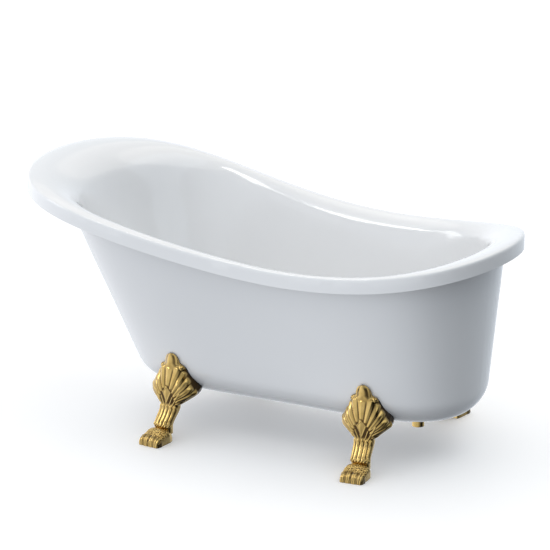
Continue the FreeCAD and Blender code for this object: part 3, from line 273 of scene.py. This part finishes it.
RIB_MM, RIB_PITCH_MM, RIB_FILL = 2.6, 13.4, 0.92
RIB_SIDES_MM, RIB_START_MM, RIB_END_MM = (33, 40), (44, 54), (-4, 3)
RIB_CREVICE_POWER = 1.5
ARCH_MM, ARCH_TOP_MM, ARCH_DROP_MM, ARCH_SLOPE = 1.6, 108, 10, 0.10
ARCH_INSET_MM, ARCH_WIDTH_MM, ARCH_FILL = 5, 5, 0.6


def ribs(side, z, height, painted_shade):
    """Ribs of the leg, with arched ends."""
    share = 2 * (side / RIB_PITCH_MM - np.round(side / RIB_PITCH_MM))
    over_arch = z - (ARCH_TOP_MM - ARCH_DROP_MM * share ** 2 - ARCH_SLOPE * side)
    front = 1 - step(*RIB_SIDES_MM, side)
    rib = step(*RIB_START_MM, z) * (1 - step(*RIB_END_MM, over_arch)) * front
    crest = dome(share / RIB_FILL)
    arch = bell(over_arch + ARCH_INSET_MM, ARCH_WIDTH_MM) * bell(share, ARCH_FILL) * front
    height = height + RIB_MM * rib * crest + ARCH_MM * arch
    # Painted shade in the grooves between the ribs.
    return height, np.maximum(painted_shade, rib * (1 - crest) ** RIB_CREVICE_POWER)


# A petal's direction from upright and its width in degrees, its start and its end from the root.
PETALS = (
    (0, 14, 58, 122, "keeled"),
    (14, 13, 50, 128, "keeled"),
    (27, 13, 42, 122, "keeled"),
    (40, 14, 35, 114, "grooved"),
    (54, 14, 30, 108, "grooved"),
    (68, 14, 28, 118, "grooved"),
    (82, 14, 26, 135, "plain"),
)
PETAL_MM, PETAL_ROOT_MM, PETAL_LOWEST_MM = 3.5, 108, 2.0
PETAL_RISE_MM, PETAL_FALL_MM = 7, 9
PETAL_FULLNESS, PETAL_REACH = 0.8, 1.02
KEEL_SHARE, KEEL_WIDTH = 0.25, 0.22
# A groove's depth, its width and the painted shade in it.
GROOVE_SHARE, GROOVE_WIDTH, GROOVE_SHADE = 0.52, 0.34, 0.55
GROOVE_START_MM, GROOVE_RISE_MM, GROOVE_FALL_MM, GROOVE_END_MM = 9, 16, 26, 14
LEAF_SPAN_MM = (104, 116, 226, 240)
# Where the painted shade between the petals fades, and how wide and how steep it is.
LEAF_FADE_MM, LEAF_FADE_SHARE = (212, 228), 0.6
LEAF_CREVICE_WIDTH, LEAF_CREVICE_POWER = 1.6, 1.3


def petal(share, reach, start, end, form):
    """Height of one petal and the painted shade in its groove.

    Share is across its half width, and reach is from the root.
    """
    near = np.abs(share) < PETAL_REACH
    ends = window(start, start + PETAL_RISE_MM, end - PETAL_FALL_MM, end, reach) * near
    profile = np.cos(np.clip(share, -1, 1) * math.pi / 2) ** PETAL_FULLNESS * ends
    groove = np.zeros_like(share)
    if form == "keeled":
        profile += KEEL_SHARE * bell(share, KEEL_WIDTH) * ends
    elif form == "grooved":
        length = window(start + GROOVE_START_MM, start + GROOVE_RISE_MM,
                        end - GROOVE_FALL_MM, end - GROOVE_END_MM, reach)
        groove = bell(share, GROOVE_WIDTH) * length * near
        profile -= GROOVE_SHARE * groove * ends
    return profile, GROOVE_SHADE * groove


def petals(side, z, height, painted_shade):
    """Petals of the leaf, spread like a shell."""
    rise = z - PETAL_ROOT_MM
    spread = np.degrees(np.arctan2(side, np.maximum(rise, PETAL_LOWEST_MM)))
    reach = np.hypot(side, np.maximum(rise, 0))
    best, groove_shade = np.zeros_like(side), np.zeros_like(side)
    for direction, width, start, end, form in PETALS:
        profile, groove = petal((spread - direction) / (width / 2), reach, start, end, form)
        best, groove_shade = np.maximum(best, profile), np.maximum(groove_shade, groove)
    leaf = window(*LEAF_SPAN_MM, z)
    # Painted shade in the gaps between the petals, fading towards the top of the leaf, and in the petals'
    # grooves.
    gap_shade = np.clip(1 - LEAF_CREVICE_WIDTH * best, 0, 1) ** LEAF_CREVICE_POWER
    gap_shade = gap_shade * (1 - LEAF_FADE_SHARE * step(*LEAF_FADE_MM, z))
    return height + PETAL_MM * leaf * best, np.maximum(painted_shade, leaf * np.maximum(gap_shade, groove_shade))


SPEAR_TOP_MM, SPEAR_WIDEST_MM, SPEAR_BOTTOM_MM, SPEAR_HALF_MM = 166, 150, 112, 16
SPEAR_EDGE, SPEAR_SUNK, SPEAR_MM, SPEAR_SHADE = (-0.1, 0.35), 0.75, 0.6, 0.35
RIM_MM, RIM_PLACE, RIM_WIDTH, RIM_SUNK, RIM_LIGHTNESS = 2.2, 0.12, 0.13, 0.4, 0.8
RIM_LOWEST, RIM_REACH_MM = -0.2, 20


def spear(side, z, height, painted_shade):
    """Spear between the lowest petals, sunk within a rim."""
    level = np.where(z > SPEAR_WIDEST_MM, (SPEAR_TOP_MM - z) / (SPEAR_TOP_MM - SPEAR_WIDEST_MM),
                     (z - SPEAR_BOTTOM_MM) / (SPEAR_WIDEST_MM - SPEAR_BOTTOM_MM))
    inside = level - side / SPEAR_HALF_MM
    blade = step(*SPEAR_EDGE, inside)
    rim = bell(inside - RIM_PLACE, RIM_WIDTH) * (level > RIM_LOWEST) * (side < RIM_REACH_MM)
    height = height * (1 - SPEAR_SUNK * blade) + SPEAR_MM * blade + RIM_MM * rim * (1 - RIM_SUNK * blade)
    # The sunk spear is painted with an even shade, and its raised rim is painted with less shade.
    painted_shade = np.where(blade > 0.5, SPEAR_SHADE, painted_shade)
    return height, painted_shade * (1 - RIM_LIGHTNESS * rim)


# A ridge's two ends, each at a distance to the side and a height, its half width and its height.
RIDGES_MM = (((17, 104), (44, 150), 3.0, 3.3), ((8, 104), (20, 134), 2.4, 2.6))


def ridges(side, z, height, painted_shade):
    """Long ridges from the waist to the sides of the leaf."""
    for (side0, z0), (side1, z1), half, crest in RIDGES_MM:
        run, climb = side1 - side0, z1 - z0
        share = np.clip(((side - side0) * run + (z - z0) * climb) / (run ** 2 + climb ** 2), 0, 1)
        ridge = dome(np.hypot(side - side0 - share * run, z - z0 - share * climb) / half)
        height = np.maximum(height, GROUND_MM + crest * ridge)
        # No painted shade on the ridges.
        painted_shade = painted_shade * (1 - ridge)
    return height, painted_shade


CURL_SIDE_MM, CURL_LEVEL_MM, CURL_RADIUS_MM, CURL_MM = 42, 229, 9.5, 6.0
CURL_RING_MM, CURL_RING_WIDTH_MM, CURL_RING_DEPTH_MM, CURL_RING_END_MM = 4.6, 1.3, 1.8, 9
CURL_EDGE_MM, CURL_EDGE_WIDTH_MM = 10.5, 1.6
CURL_RING_SHADE, CURL_EDGE_SHADE = 0.9, 0.8


def curls(side, z, height, painted_shade):
    """Curls beside the tip, each a knob with a sunk ring."""
    gap = np.hypot(side - CURL_SIDE_MM, z - CURL_LEVEL_MM)
    ring = bell(gap - CURL_RING_MM, CURL_RING_WIDTH_MM) * (gap < CURL_RING_END_MM)
    height = np.maximum(height, CURL_MM * dome(gap / CURL_RADIUS_MM) - CURL_RING_DEPTH_MM * ring)
    # Painted shade in each sunk ring and round the foot of each knob.
    painted_shade = np.where(gap < CURL_RADIUS_MM, CURL_RING_SHADE * ring, painted_shade)
    return height, np.maximum(painted_shade, CURL_EDGE_SHADE * bell(gap - CURL_EDGE_MM, CURL_EDGE_WIDTH_MM))


FOLDED_SPAN_MM, FOLDED_GROUND_MM, FOLDED_LEAST_HALF_MM = (224, 243), 0.4, 1.0
FOLDED_FADE_MM, FOLDED_FADE_SHARE = 12, 0.85
BORDER_MM, BORDER_PLACE, HOLLOW_PLACE, HOLLOW_SHADE = 3.0, 0.92, 0.55, 0.85
BORDER_WIDTH = HOLLOW_WIDTH = 0.16
MIDRIB_MM, MIDRIB_WIDTH = 2.6, 0.45


def folded_tip(side, z, height, painted_shade):
    """Tip of the leaf: a raised border, a midrib and the hollows between them, fading into the point."""
    share = side / np.array([[max(leg_sizes(level)[0] / 2, FOLDED_LEAST_HALF_MM)] for level in z[:, 0]])
    tip = step(*FOLDED_SPAN_MM, z)
    fade = tip * (1 - FOLDED_FADE_SHARE * step(TIP_MM - FOLDED_FADE_MM, TIP_MM, z))
    border = bell(share - BORDER_PLACE, BORDER_WIDTH)
    midrib = np.clip(1 - share / MIDRIB_WIDTH, 0, 1)
    hollow = bell(share - HOLLOW_PLACE, HOLLOW_WIDTH)
    height = height * (1 - tip) + fade * (FOLDED_GROUND_MM + BORDER_MM * border + MIDRIB_MM * midrib)
    # Painted shade in the hollows.
    return height, painted_shade * (1 - tip) + fade * HOLLOW_SHADE * hollow


FOLD_MM, FOLD_PITCH_MM, FOLD_SLOPE = 0.7, 9.5, 0.35
FOLD_SIDES_MM, FOLD_SPAN_MM = (60, 72), (116, 128, 175, 195)


def folds(side, z, height, painted_shade):
    """Soft folds on the sides of the leaf."""
    fold = step(*FOLD_SIDES_MM, side) * window(*FOLD_SPAN_MM, z)
    return height + FOLD_MM * fold * np.cos((z - FOLD_SLOPE * side) * math.pi / FOLD_PITCH_MM), painted_shade


COLLAR_MM, COLLAR_LEVEL_MM, COLLAR_WIDTH_MM, COLLAR_SIDES_MM = 1.0, 47, 5.5, (34, 44)
TUFT_MM, TUFT_PITCH_MM, TUFT_SWAY, TUFT_SWAY_MM = 3.0, 9.0, 0.6, 2.2


def tufts(across, z, height, painted_shade):
    """Tufts round the ankle, which sway, so that the two sides differ."""
    collar = bell(z - COLLAR_LEVEL_MM, COLLAR_WIDTH_MM) * (1 - step(*COLLAR_SIDES_MM, np.abs(across)))
    tuft = np.abs(np.cos(across * math.pi / TUFT_PITCH_MM + TUFT_SWAY * np.sin(z / TUFT_SWAY_MM)))
    # Painted shade between the tufts.
    return height + collar * (COLLAR_MM + TUFT_MM * tuft), np.maximum(painted_shade, collar * (1 - tuft) ** 2)


def leg_relief(across, z):
    """Height of the carving over the core and the painted shade in its crevices."""
    height, painted_shade = np.full_like(across, GROUND_MM), np.zeros_like(across)
    for carve in (ribs, petals, spear, ridges, curls, folded_tip, folds):
        height, painted_shade = carve(np.abs(across), z, height, painted_shade)
    height, painted_shade = tufts(across, z, height, painted_shade)
    height = height * step(*PAW_FADE_MM, z)
    return np.maximum(height, LEAST_MM), np.clip(painted_shade, 0, 1)


# ---------------------------------------------------------------- skin of the leg

SKIN_ROWS, SKIN_COLUMNS, SKIN_SAMPLES = 230, 200, 500
SKIN_BOTTOM_MM, SKIN_TOP_GAP_MM, SKIN_BACK_MM = 26, 0.25, 0.8
SKIN_CORE_MM = 12.0                             # how far towards the tub the middle of a row is set
LAST_TURN, TRIED_TURNS = 2.95, 240              # the skin ends here at the latest, in radians from the front
CASTING_WALL_MM, HOLLOW_BOTTOM_MM = 9, 58
# How far the skin keeps off the tub, looked at only above a height and past a turn.
TUB_CLEARANCE_MM, TUB_LOWEST_MM, TUB_FIRST_TURN = 3.4, 100, 0.6


def surface_normals(points, middle):
    """Normals of a grid of points, away from the middle."""
    normals = np.cross(np.gradient(points, axis=1), np.gradient(points, axis=0))
    normals /= np.maximum(np.linalg.norm(normals, axis=2, keepdims=True), TINY)
    return normals * np.sign((normals * (points - middle)).sum(axis=2, keepdims=True) + TINY)


def skin_end(z, side, way, foot, shell):
    """The turn at which a row of skin ends on one side: at the casting's hollow or near the tub."""
    turns = np.linspace(0, LAST_TURN, TRIED_TURNS)
    inside = leg_sizes(z)[0] / 2 - CASTING_WALL_MM
    for turn, point in zip(turns[1:], leg_section(z, side * turns, way)[1:]):
        behind = turn > math.pi / 2 and z > HOLLOW_BOTTOM_MM
        if behind and abs(point[0] - leg_lean(z, way)) < inside:
            return turn
        if z > TUB_LOWEST_MM and turn > TUB_FIRST_TURN:
            place = foot.place(point)
            nearest, normal, *_ = shell.find_nearest(place)
            if (place - nearest).dot(normal) < TUB_CLEARANCE_MM * MM:
                return turn
    return turns[-1]


def leg_skin(foot, shell, way):
    """Outer and inner points of the skin over the leg, and the painted shade in its crevices."""
    rows, arcs = [], []
    for z in np.linspace(SKIN_BOTTOM_MM, TIP_MM - SKIN_TOP_GAP_MM, SKIN_ROWS + 1):
        left, right = (skin_end(z, side, way, foot, shell) for side in (-1, 1))
        turns = np.linspace(-left, right, SKIN_SAMPLES)
        lengths = np.linalg.norm(np.diff(leg_section(z, turns, way), axis=0), axis=1)
        run = np.concatenate([[0], np.cumsum(lengths)])
        run -= np.interp(0, turns, run)
        arc = np.linspace(run[0], run[-1], SKIN_COLUMNS + 1)
        rows.append(leg_section(z, np.interp(arc, run, turns), way))
        arcs.append(arc)
    base = np.array(rows)
    middle = base.mean(axis=1, keepdims=True) - np.array([0, SKIN_CORE_MM, 0])
    normals = surface_normals(base, middle)
    height, painted_shade = leg_relief(np.array(arcs), base[..., 2])
    return base + normals * height[..., None], base - normals * SKIN_BACK_MM, painted_shade


# ---------------------------------------------------------------- skin of the paw
# Shares run from 0 at the heel to 1 at the toes, and turns over the paw from side to side.

PAW_HEEL_MM, PAW_REACH_MM, PAW_WIDTH_MM = 53.0, 129.8, 75
HEEL_TOP_MM, CREST_TOP_MM, TOE_TOP_MM = 32.4, 39.5, 27.0
PAW_SQUARENESS, PAW_TAPER = 3.4, 0.1
PAW_CREST, TOE_START = 0.35, 0.8
PAW_ROWS, PAW_FRONT_ROWS, PAW_COLUMNS = 140, 40, 190
PAW_FRONT_DROP = 0.55                           # how far the toes round down, 1 to a sharp edge
PAW_FRONT_BULGE_MM, PAW_FRONT_LEAST = 1.5, 0.02
PAW_MIDDLE_MM, PAW_BACK_MM, PAW_LOWEST_MM = 8.0, 1.2, 0.3


def paw_top(share):
    """Height of the paw from the heel over the crest to the rounded toes."""
    heel = HEEL_TOP_MM + (CREST_TOP_MM - HEEL_TOP_MM) * step(0, PAW_CREST, share)
    instep = CREST_TOP_MM + (TOE_TOP_MM - CREST_TOP_MM) * step(PAW_CREST, TOE_START, share)
    along_toes = np.maximum(share - TOE_START, 0) / (1 - TOE_START)
    return np.where(share < PAW_CREST, heel, instep * np.sqrt(1 - PAW_FRONT_DROP * along_toes ** 2))


def paw_core():
    """The paw without its carving, closed over the front: points, shares, turns and half widths."""
    closing = np.linspace(0, math.pi / 2, PAW_FRONT_ROWS + 1)[1:]
    shares = np.concatenate([np.linspace(0, 1, PAW_ROWS + 1), np.ones(PAW_FRONT_ROWS)])
    bulge = np.concatenate([np.zeros(PAW_ROWS + 1), PAW_FRONT_BULGE_MM * np.sin(closing)])[:, None]
    shrink = np.concatenate([np.ones(PAW_ROWS + 1), np.maximum(np.cos(closing), PAW_FRONT_LEAST)])[:, None]
    share, turn = np.meshgrid(shares, np.linspace(0.0, math.pi, PAW_COLUMNS + 1), indexing="ij")
    half = PAW_WIDTH_MM / 2 * (1 - PAW_TAPER * (2 * share - 1) ** 4)
    base = np.stack([shrink * half * power(np.cos(turn), PAW_SQUARENESS),
                     PAW_HEEL_MM + (PAW_REACH_MM - PAW_HEEL_MM) * share + bulge,
                     shrink * paw_top(share) * power(np.sin(turn), PAW_SQUARENESS)], axis=-1)
    return base, share, turn, half


FUR_ROWS, FUR_COLUMNS, FUR_START_MM, FUR_PITCH_MM = 9, 12, (-35.2, 70), (6.4, 5.9)
FUR_MM, FUR_RADIUS_MM, FUR_CREVICE_WIDTH = 3.6, 3.6, 1.6
FUR_EYE_SHARE, FUR_EYE_PLACE, FUR_EYE_WIDTH = 0.35, 0.25, 0.22
FUR_SPAN, FUR_TURNS = (0.13, 0.2, 0.76, 0.84), (0.28, 0.5)
FUR_FLANK, FUR_FLANK_SHARE = (0.93, 1.0), 0.5
# How uneven the curls' places and radii are: by how much, and turns per column, per row and at the start.
FUR_UNEVEN_U, FUR_UNEVEN_S = (1.4, 7.1, 3.3, 0), (1.3, 5.3, 1.7, math.pi / 2)
FUR_UNEVEN_RADIUS = (0.7, 3.1, 2.3, 0)


def fur_curls():
    """Place and radius of each curl of fur, in staggered, uneven rows."""
    for row in range(FUR_ROWS):
        for column in range(FUR_COLUMNS):
            off_u, off_s, off_radius = (
                amount * math.sin(per_column * column + per_row * row + start)
                for amount, per_column, per_row, start in (FUR_UNEVEN_U, FUR_UNEVEN_S, FUR_UNEVEN_RADIUS))
            yield (FUR_START_MM[0] + FUR_PITCH_MM[0] * (column + (row % 2) / 2) + off_u,
                   FUR_START_MM[1] + FUR_PITCH_MM[1] * row + off_s, FUR_RADIUS_MM + off_radius)


PAW_GROUND_MM = 0.4
TOES, TOE_MM, TOE_PITCH_MM, TOE_CREVICE_WIDTH = (0.7, 0.8), 2.2, 18.2, 2.2
STRAND_MM, STRAND_PITCH_MM, STRAND_SWAY, STRAND_SWAY_MM = 1.6, 6.1, 0.25, 3.0
STRAND_CREVICE_WIDTH, STRAND_SHADE = 1.5, 0.9
FLANK_MM, FLANK_PITCH_MM, FLANK_SPAN, FLANK_EDGE = 0.5, 5, (0.15, 0.2, 0.72, 0.8), (0.6, 0.9)


def paw_relief(base, share, turn, half):
    """Height of the carving over the paw and the painted shade in its crevices: fur, toes and grooved
    flanks.
    """
    u, s, z = base[..., 0], base[..., 1], base[..., 2]
    flank = np.abs(u) / half
    knobs = np.zeros_like(u)
    for place_u, place_s, radius in fur_curls():
        gap = np.hypot(u - place_u, s - place_s) / radius
        eye = bell(gap - FUR_EYE_PLACE, FUR_EYE_WIDTH) * (gap < 1)
        knobs = np.maximum(knobs, dome(gap) - FUR_EYE_SHARE * eye)
    fur = window(*FUR_SPAN, share) * step(*FUR_TURNS, np.sin(turn))
    fur = fur * (1 - FUR_FLANK_SHARE * step(*FUR_FLANK, flank))
    toe = step(*TOES, share)
    lobes = np.abs(np.sin(u * math.pi / TOE_PITCH_MM))
    strands = np.abs(np.cos(u * math.pi / STRAND_PITCH_MM + STRAND_SWAY * np.sin(z / STRAND_SWAY_MM)))
    grooves = window(*FLANK_SPAN, share) * step(*FLANK_EDGE, flank)
    grooves = grooves * np.cos(s * math.pi / FLANK_PITCH_MM) ** 2
    height = PAW_GROUND_MM + FUR_MM * fur * knobs + FLANK_MM * grooves
    height = height + toe * (TOE_MM * np.sqrt(lobes) + STRAND_MM * strands)
    # Painted shade between the strands, between the toes and round the curls of fur.
    shade_between_strands = STRAND_SHADE * np.clip(1 - STRAND_CREVICE_WIDTH * strands, 0, 1)
    shade_between_toes = np.clip(1 - TOE_CREVICE_WIDTH * lobes, 0, 1)
    painted_shade = np.maximum(np.clip(fur * (1 - FUR_CREVICE_WIDTH * knobs), 0, 1), toe * shade_between_strands)
    return height, np.maximum(painted_shade, toe * shade_between_toes)


def paw_skin():
    """Outer and inner points of the skin over the paw, and the painted shade in its crevices."""
    base, share, turn, half = paw_core()
    normals = surface_normals(base, np.array([0, (PAW_HEEL_MM + PAW_REACH_MM) / 2, PAW_MIDDLE_MM]))
    height, painted_shade = paw_relief(base, share, turn, half)
    outer, inner = base + normals * height[..., None], base - normals * PAW_BACK_MM
    for points in (outer, inner):
        points[..., 2] = np.maximum(points[..., 2], PAW_LOWEST_MM)
    return outer, inner, painted_shade


# ---------------------------------------------------------------- carved feet

GLIDE_MM = 92                                   # how far out in a foot's frame its levelling glide stands


class Foot:
    """A front foot's own frame, worked out from its levelling screw and its mount."""

    def __init__(self, name):
        leveler = frame["nodes"]["leveler_" + name]
        mount = next(row for row in frame["record"]["mounts"] if row["name"] == "floor_" + name)
        corners = [leveler.matrix_world @ Vector(corner) for corner in leveler.bound_box]
        glide = sum(corners, Vector()) / len(corners)
        self.out = Vector(mount["pos_m"]) - glide
        self.out.z = 0
        self.out.normalize()
        self.along = Vector((-self.out.y, self.out.x, 0))
        self.origin = Vector((glide.x, glide.y, 0)) - self.out * GLIDE_MM * MM

    def place(self, point):
        """Where a point of the foot's frame is in the scene."""
        u, s, z = (float(value) for value in point)
        return self.origin + (self.along * u + self.out * s + Vector((0, 0, z))) * MM

    def places(self, points):
        """The same for an array of points."""
        return np.array(self.origin) + points @ np.array([self.along, self.out, (0, 0, 1)]) * MM


def skin_mesh(name, outer, inner, painted_shade, mirrored):
    """A closed shell from a grid of outer points and a grid of inner points."""
    rows, columns = outer.shape[:2]
    count = rows * columns
    cell = np.arange(count).reshape(rows, columns)
    a, b, c, d = cell[:-1, :-1], cell[:-1, 1:], cell[1:, 1:], cell[1:, :-1]
    border = np.concatenate([cell[0, :], cell[1:, -1], cell[-1, -2::-1], cell[-2:0:-1, 0]])
    after = np.roll(border, -1)
    faces = np.concatenate([np.stack([a, b, c, d], -1).reshape(-1, 4),
                            np.stack([d, c, b, a], -1).reshape(-1, 4) + count,
                            np.stack([after, border, border + count, after + count], -1)])
    points = np.concatenate([outer.reshape(-1, 3), inner.reshape(-1, 3)])
    if mirrored:
        points = points * np.array([1, -1, 1])
        faces = faces[:, ::-1]
    mesh = bpy.data.meshes.new(name)
    mesh.from_pydata(points.tolist(), [], faces.tolist())
    mesh.shade_smooth()
    # The painted shade goes onto the mesh, and the whole inner side of the shell is painted fully shaded.
    layer = mesh.attributes.new("painted_shade", "FLOAT", "POINT")
    layer.data.foreach_set("value", np.concatenate([painted_shade.ravel(), np.ones(count)]).astype(np.float32))
    return mesh


skirt_tree = BVHTree.FromObject(frame["nodes"]["skirt"], bpy.context.evaluated_depsgraph_get())
for end, way in (("head", 1), ("drain", -1)):
    foot = Foot("front_" + end)
    for kind, (outer, inner, painted_shade) in (("leg", leg_skin(foot, skirt_tree, way)), ("paw", paw_skin())):
        for corner, mirrored in (("front_", False), ("rear_", True)):
            name = "carved_%s_%s%s" % (kind, corner, end)
            piece = put(name, skin_mesh(name, foot.places(outer), foot.places(inner), painted_shade, mirrored))
            dress(piece, "polished_gold")
            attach(piece, "tub")

# ---------------------------------------------------------------- studio

FLOOR_REACH = 40.0
FLOOR_CORNERS = ((-1, -1), (1, -1), (1, 1), (-1, 1))
floor_mesh = bpy.data.meshes.new("floor")
floor_mesh.from_pydata([(x * FLOOR_REACH, y * FLOOR_REACH, 0) for x, y in FLOOR_CORNERS], [], [(0, 1, 2, 3)])
floor_shader = Shader("studio_floor", Roughness=0.6, Emission_Color=(1, 1, 1, 1), Emission_Strength=0.16)
floor_shader.colour(floor_shader.noise(0.8), dark=(0.90, 0.90, 0.90), light=(0.92, 0.92, 0.92))
floor_mesh.materials.append(floor_shader.material)
floor = put("floor", floor_mesh)
# The floor throws no light back at the tub, as the lower part of the shell is dark in the photograph.
floor.visible_diffuse = floor.visible_glossy = False

TUB_MIDDLE = Vector((0, 0, 0.40))


def softbox(name, place, size, watts):
    """An area light on the middle of the tub, for the highlights in the gloss alone."""
    data = bpy.data.lights.new(name, "AREA")
    data.shape = "RECTANGLE"
    data.size, data.size_y = size
    data.energy = watts
    put(name, data, place, TUB_MIDDLE - Vector(place)).visible_diffuse = False


def wide_sun(name, direction, degrees, strength, colour):
    """Light from a wide patch of sky in a direction."""
    data = bpy.data.lights.new(name, "SUN")
    data.energy, data.angle, data.color = strength, math.radians(degrees), colour
    put(name, data, ahead=direction, axis="Z")


softbox("softbox_left", (-3.4, -2.4, 2.4), (1.4, 2.2), 30)
softbox("softbox_strip", (-1.2, -1.6, 3.0), (0.35, 2.0), 16)
# Straight above, above behind and above on the right.
wide_sun("overhead", (0, 0, 1), 90, 1.15, (1.0, 0.96, 0.90))
wide_sun("overhead_back", (0, 0.6, 1), 70, 0.40, (1.0, 0.9, 0.8))
wide_sun("overhead_right", (0.7, 0, 1), 70, 0.75, (0.80, 0.90, 1.0))

# Surroundings that glow on the left, in front and behind, and are dark on the right, above and below.
GLOW = (((-1, 0, 0), (1.45, 1.48, 1.54)), ((0, -1, 0), (1.05, 1.10, 1.17)), ((0, 1, 0), (0.85, 0.92, 1.00)))
world = bpy.data.worlds.new("studio")
bpy.context.scene.world = world
world.use_nodes = True
sky = world.node_tree


def sky_node(kind, operation, *inputs):
    """A node of the surroundings, from values and other nodes' outputs."""
    node = sky.nodes.new(kind)
    node.operation = operation
    for socket, value in zip(node.inputs, inputs):
        if isinstance(value, bpy.types.NodeSocket):
            sky.links.new(value, socket)
        else:
            socket.default_value = value
    return node


view = sky.nodes.new("ShaderNodeTexCoord").outputs["Generated"]
glow = (0, 0, 0)
for direction, colour in GLOW:
    facing = sky_node("ShaderNodeVectorMath", "DOT_PRODUCT", view, direction).outputs["Value"]
    lit = sky_node("ShaderNodeMath", "MAXIMUM", facing, 0).outputs["Value"]
    lobe = sky_node("ShaderNodeMath", "MULTIPLY", lit, lit).outputs["Value"]
    glow = sky_node("ShaderNodeVectorMath", "MULTIPLY_ADD", lobe, colour, glow).outputs["Vector"]
sky.links.new(glow, sky.nodes["Background"].inputs["Color"])

bpy.context.scene.view_settings.view_transform = "Standard"

# The photograph's camera, worked out from the rim, the shell and the feet.
CAMERA_TARGET = Vector((0.0016, 0, 0.4763))
AZIMUTH, ELEVATION = math.radians(29.073), math.radians(17.117)
CAMERA_DISTANCE, FARTHEST_SEEN = 10.0005, 200
LENS_MM, SENSOR_MM = 212.6, 36.0
camera_data = bpy.data.cameras.new("camera")
camera_data.lens, camera_data.sensor_width, camera_data.clip_end = LENS_MM, SENSOR_MM, FARTHEST_SEEN
back = Vector((math.sin(AZIMUTH) * math.cos(ELEVATION), -math.cos(AZIMUTH) * math.cos(ELEVATION),
               math.sin(ELEVATION)))
bpy.context.scene.camera = put("camera", camera_data, CAMERA_TARGET + back * CAMERA_DISTANCE, -back)
